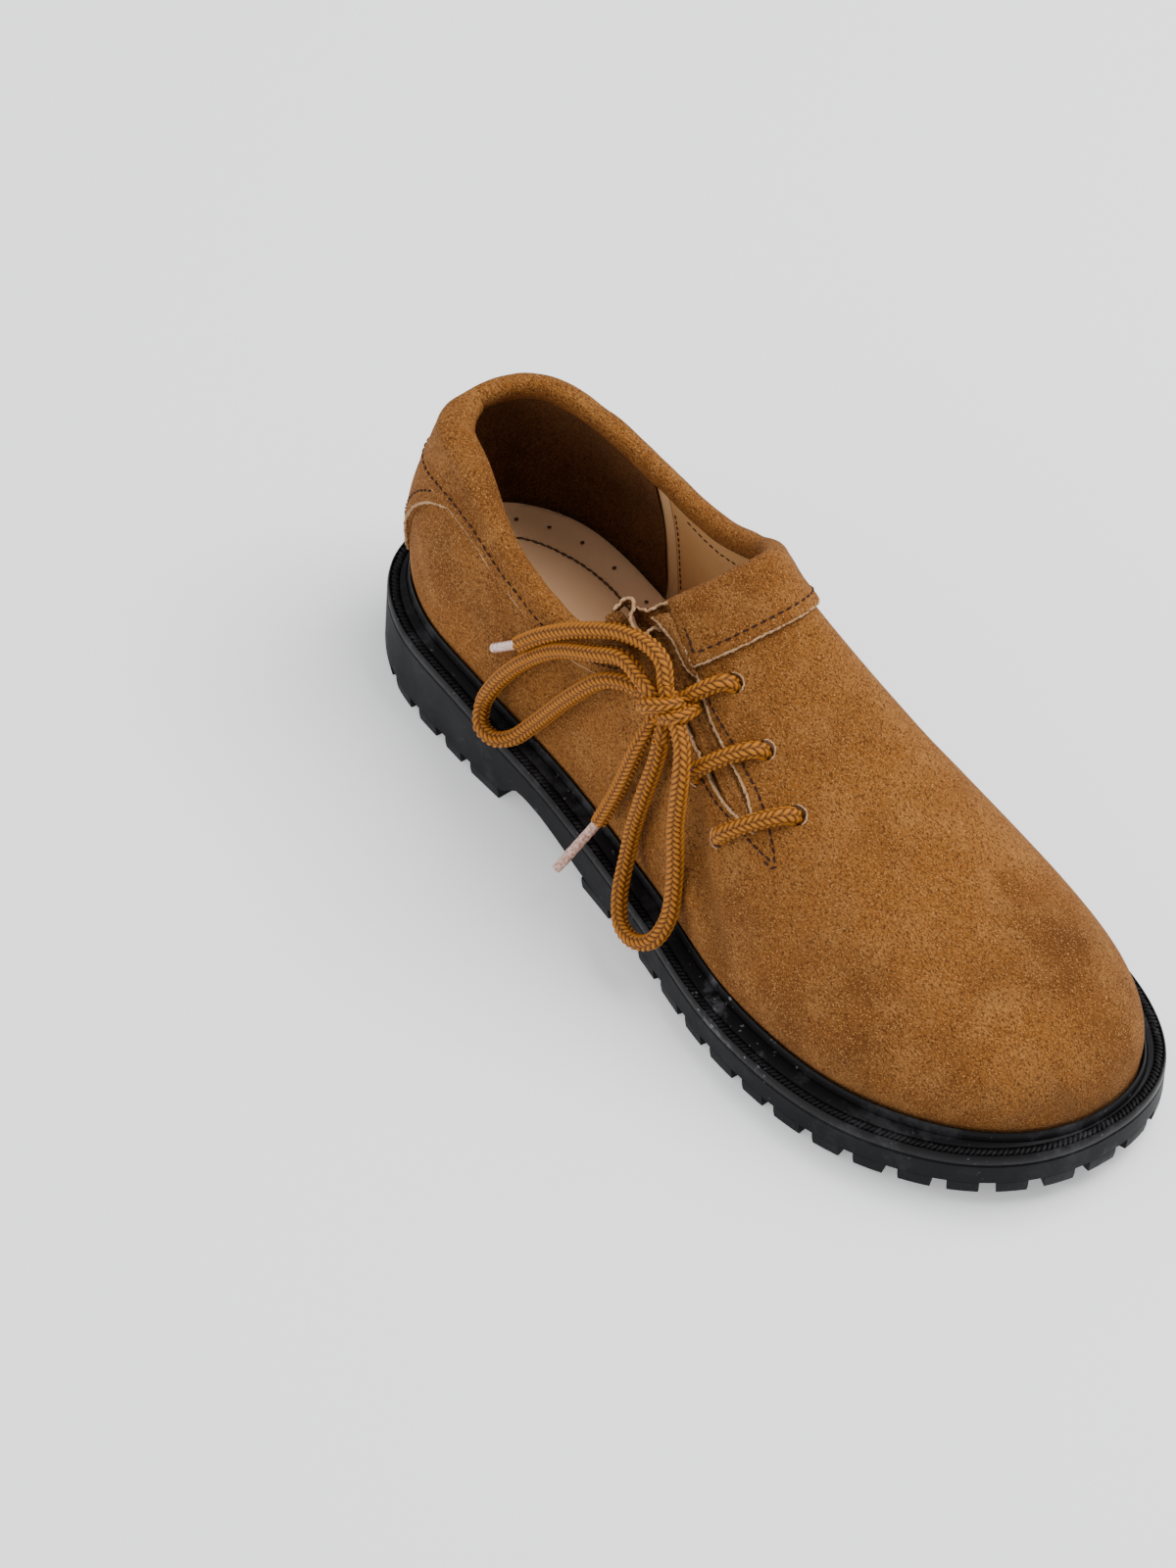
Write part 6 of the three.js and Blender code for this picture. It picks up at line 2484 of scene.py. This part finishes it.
    def make_knot(self, upper: Upper, finish: Material) -> Piece:
        """Builds the knot from the wraps that show and the runs under them.

        Args:
            upper: The upper.
            finish: Its material.

        Returns:
            The piece.
        """
        axes = np.array((self.right, self.up, self.toward))
        draft, strands = Draft(), []
        for route in (*self.wraps, *self.cores):
            spots = np.array(self.knot_at) + np.array(route) @ axes
            self.braid(draft, curve_through(spots, self.step), strands, self.knot_share)
        runs = [curve_through(route, self.step)
                for route in (self.heel_loop, self.toe_loop, self.heel_end, self.toe_end)]
        for line in (*runs, runs[0][::-1], runs[1][::-1], self.bar_line(0, upper, self.bar_start)):
            back = unit(line[0] - line[6])
            middle = np.array(self.knot_at) - axes[2] * 1.2
            room = float(np.linalg.norm(middle - line[0]))
            spots = [line[0], line[0] + back * 0.35 * room,
                     line[0] + (back * 0.35 + unit(middle - line[0]) * 0.5) * room]
            stub = curve_through(spots, self.step)
            self.braid(draft, stub, strands, np.linspace(0.99, 0.8, len(stub)))
        return settle(self._finish(draft, "braid_knot", strands, finish), Slot.LACE, "lace_knot")

    def make_aglet(self, name: str, end: Array, tip: Array, finish: Material) -> Piece:
        """Builds an aglet round the lace's end, with a crimped edge and a narrowed tip.

        Args:
            name: Its name.
            end: The lace's end.
            tip: The tip's place.
            finish: Its material.

        Returns:
            The piece.
        """
        way = unit(tip - end)
        line = resample(np.array((end - way * 0.5, tip)), 0.5)
        share = np.linspace(0, 1, len(line))
        rim = np.array(self.aglet_diameter / 2
                       * (1 + 0.3 * np.exp(-share * 22) - 0.1 * smooth((share - 0.95) / 0.05)))
        turn = np.linspace(0, 2 * math.pi, 28, endpoint=False)
        crimp = 1 + 0.035 * np.sin(turn * 3 + 1.0)[None] + 0.02 * np.sin(share * 40)[:, None]
        draft = Draft()
        add_tube(draft, line, rim[:, None] * crimp, 28)
        return draft.build(name, [finish], 50)

    def make_free(self, finish: Material, film: Material) -> None:
        """Builds the bows and the ends, with their aglets.

        Args:
            finish: Its material.
            film: The aglets' material.
        """
        for name, node, route in (
            ("braid_bow_heel", "lace_loop_heel", self.heel_loop),
            ("braid_bow_toe", "lace_loop_toe", self.toe_loop),
        ):
            line = curve_through(route, self.step)
            piece = settle(self.make_run(name, line, finish), Slot.LACE, node)
        for name, node, route, tip in (
            ("braid_end_heel", "lace_end_heel", self.heel_end, self.heel_tip),
            ("braid_end_toe", "lace_end_toe", self.toe_end, self.toe_tip),
        ):
            line = curve_through(route, self.step)
            piece = settle(self.make_run(name, line, finish), Slot.LACE, node)
            side = node.rsplit("_", 1)[1]
            aglet = settle(self.make_aglet(f"film_aglet_{side}", line[-1], np.array(tip), film), Slot.AGLET,
                           f"aglet_{side}")


# The studio


@dataclass(frozen=True)
class Studio:
    """The floor, the soft light and the camera."""

    azimuth: float = 41.0
    elevation: float = 47.5
    roll: float = 3.5
    distance: float = 2950.0
    lens: float = 245.9
    target: tuple = (143.0, 0.0, 40.0)
    shift: tuple = (47.9, 1.5)
    floor_tone: Rgb = (0.95, 0.95, 0.945)
    floor_glow: float = 0.3
    key_watts: float = 29.0
    fill_watts: float = 13.0

    def axes(self) -> tuple[Array, Array, Array]:
        """Gives the picture's right, up and toward-the-viewer directions.

        Returns:
            The three directions.
        """
        a, e, r = (math.radians(x) for x in (self.azimuth, self.elevation, self.roll))
        toward = np.array((math.cos(a) * math.cos(e), -math.sin(a) * math.cos(e), math.sin(e)))
        right = np.array((math.sin(a), math.cos(a), 0.0))
        up = np.cross(toward, right)
        return math.cos(r) * right + math.sin(r) * up, -math.sin(r) * right + math.cos(r) * up, toward

    def make_camera(self) -> None:
        """Sets the camera where the photo was taken."""
        right, up, toward = self.axes()
        spot = np.array(self.target) - self.shift[0] * right - self.shift[1] * up + self.distance * toward
        data = bpy.data.cameras.new("camera")
        data.lens = self.lens
        data.sensor_width = 36.0
        data.clip_start, data.clip_end = 0.1, 20.0
        camera = link("camera", data)
        place = Matrix(np.stack([right, up, toward], 1).tolist()).to_4x4()
        place.translation = Vector(((spot - FRAME_ORIGIN) * MM).tolist())
        camera.matrix_world = place
        bpy.context.scene.camera = camera

    def make_floor(self) -> None:
        """Lays the pale floor."""
        mesh = bpy.data.meshes.new("floor")
        mesh.from_pydata([(-4, -4, 0), (4, -4, 0), (4, 4, 0), (-4, 4, 0)], [], [(0, 1, 2, 3)])
        material, wiring, shader = new_material("floor_paper")
        wiring.feed(shader, {
            "Base Color": rgba(self.floor_tone), "Emission Color": rgba((1.0, 1.0, 1.0)),
            "Emission Strength": self.floor_glow, "Roughness": 0.9, "Specular IOR Level": 0.1,
        })
        mesh.materials.append(material)
        floor = link("floor", mesh)

    def _panel(self, name: str, way: Array, size: float, watts: float, distance: float = 1.5) -> None:
        """Hangs a square light panel in a direction from the shoe.

        Args:
            name: Its name.
            way: The direction.
            size: The panel's side in metres.
            watts: Its power.
            distance: How far off it hangs.
        """
        data = bpy.data.lights.new(name, "AREA")
        data.shape = "SQUARE"
        data.size = size
        data.energy = watts
        lamp = link(name, data)
        way = unit(way)
        lamp.location = Vector((way * distance).tolist())
        lamp.rotation_mode = "QUATERNION"
        lamp.rotation_quaternion = Vector((-way).tolist()).to_track_quat("-Z", "Y")

    def make_lights(self) -> None:
        """Hangs the soft key at the picture's upper right and a weak fill."""
        right, up, toward = self.axes()
        self._panel("key", 0.5 * right + 0.66 * up + 0.55 * toward, 1.1, self.key_watts)
        self._panel("fill", -0.9 * right - 0.1 * up + 0.45 * toward, 1.6, self.fill_watts)
        world = bpy.data.worlds.new("studio")
        world.use_nodes = True
        back = world.node_tree.nodes["Background"]
        back.inputs["Color"].default_value = (0.93, 0.95, 1.0, 1.0)
        back.inputs["Strength"].default_value = 0.8
        bpy.context.scene.world = world


@dataclass(frozen=True)
class Palette:
    """The shoe's finishes."""

    suede: Suede = Suede("suede_tan", (0.245, 0.088, 0.0145), (0.09, 0.028, 0.0045), (0.5, 0.24, 0.072))
    # The collar's suede is painted a little darker than the wall's, as painted shade under the roll.
    collar: Suede = Suede("suede_collar", (0.24, 0.085, 0.014), (0.09, 0.028, 0.0045), (0.48, 0.23, 0.068))
    # The gusset's suede is painted lighter than the wall's, to make up for the shade that the slit's edges
    # cast on it.
    gusset: Suede = Suede("suede_gusset", (0.29, 0.112, 0.024), (0.11, 0.036, 0.007), (0.56, 0.29, 0.1))
    heel_lining: Suede = Suede("suede_dark_lining", (0.125, 0.05, 0.015), (0.05, 0.018, 0.006),
                               (0.23, 0.105, 0.036))
    raw: Suede = Suede("suede_raw_edge", (0.55, 0.34, 0.18), (0.3, 0.14, 0.05), (0.78, 0.58, 0.38), 1900.0,
                       0.5, 0.8)
    lining: Hide = Hide("lining_leather", (0.5, 0.27, 0.1), (0.38, 0.19, 0.065))
    strip: Hide = Hide("lining_fold", (0.6, 0.38, 0.19), (0.42, 0.24, 0.11))
    insole: Hide = Hide("insole_tan", (0.84, 0.5, 0.27), (0.64, 0.34, 0.16), (0.28, 0.42), 0.35, 0.45)
    sole: Rubber = Rubber("rubber_sole", (0.0034, 0.0035, 0.0046), (0.5, 0.68))
    welt: Rubber = Rubber("rubber_welt", (0.0062, 0.0058, 0.0065), (0.38, 0.58), 0.5)
    # The braid's crest colour, then the painted shade in its crevices.
    braid: Braid = Braid("lace_braid", (0.43, 0.15, 0.012), (0.035, 0.009, 0.0012))
    film: Film = Film("aglet_film", (0.64, 0.42, 0.35), (0.34, 0.15, 0.08))
    seam: Thread = Thread("thread_dark", (0.02, 0.008, 0.007), (0.052, 0.022, 0.016))
    # Dark thread for the insole's stitches, and the painted shade of its pinholes.
    hole: Thread = Thread("pinhole_dark", (0.09, 0.045, 0.02), (0.14, 0.08, 0.04))


def main() -> None:
    """Makes the shoe and the studio round it."""
    logging.basicConfig(level=logging.INFO, format="%(name)s: %(message)s")
    studio, lacing, upper, sole, inside, palette = Studio(), Lacing(), Upper(), Sole(), Inside(), Palette()
    studio.make_camera()
    effects, rows = Effects(), RowTree()
    braid, suede, raw = (one.make(effects) for one in (palette.braid, palette.suede, palette.raw))
    collar, lining, insole = (one.make(effects) for one in (palette.collar, palette.lining, palette.insole))
    seam, hole = palette.seam.make(effects), palette.hole.make(effects)
    welt = palette.welt.make(effects)
    lacing.make_free(braid, palette.film.make(effects))
    lacing.make_bars(upper, braid)
    lacing.make_knot(upper, braid)
    sole.make_outsole(palette.sole.make(effects))
    sole.make_welt(welt)
    sole.make_ribs(rows, welt)
    upper.make_wall(suede, lining, raw)
    upper.make_collar(collar)
    upper.make_stay(suede)
    upper.make_gusset(palette.gusset.make(effects))
    upper.make_raw_edges(raw)
    upper.make_stitches(rows, seam)
    inside.make_insole(insole)
    inside.make_sock(insole)
    inside.make_marks(rows, hole)
    inside.make_lining(palette.heel_lining.make(effects), upper)
    inside.make_facing(palette.strip.make(effects), upper)
    inside.make_lining_stitches(rows, seam, upper)
    studio.make_floor()
    studio.make_lights()


if __name__ == "__main__":
    main()
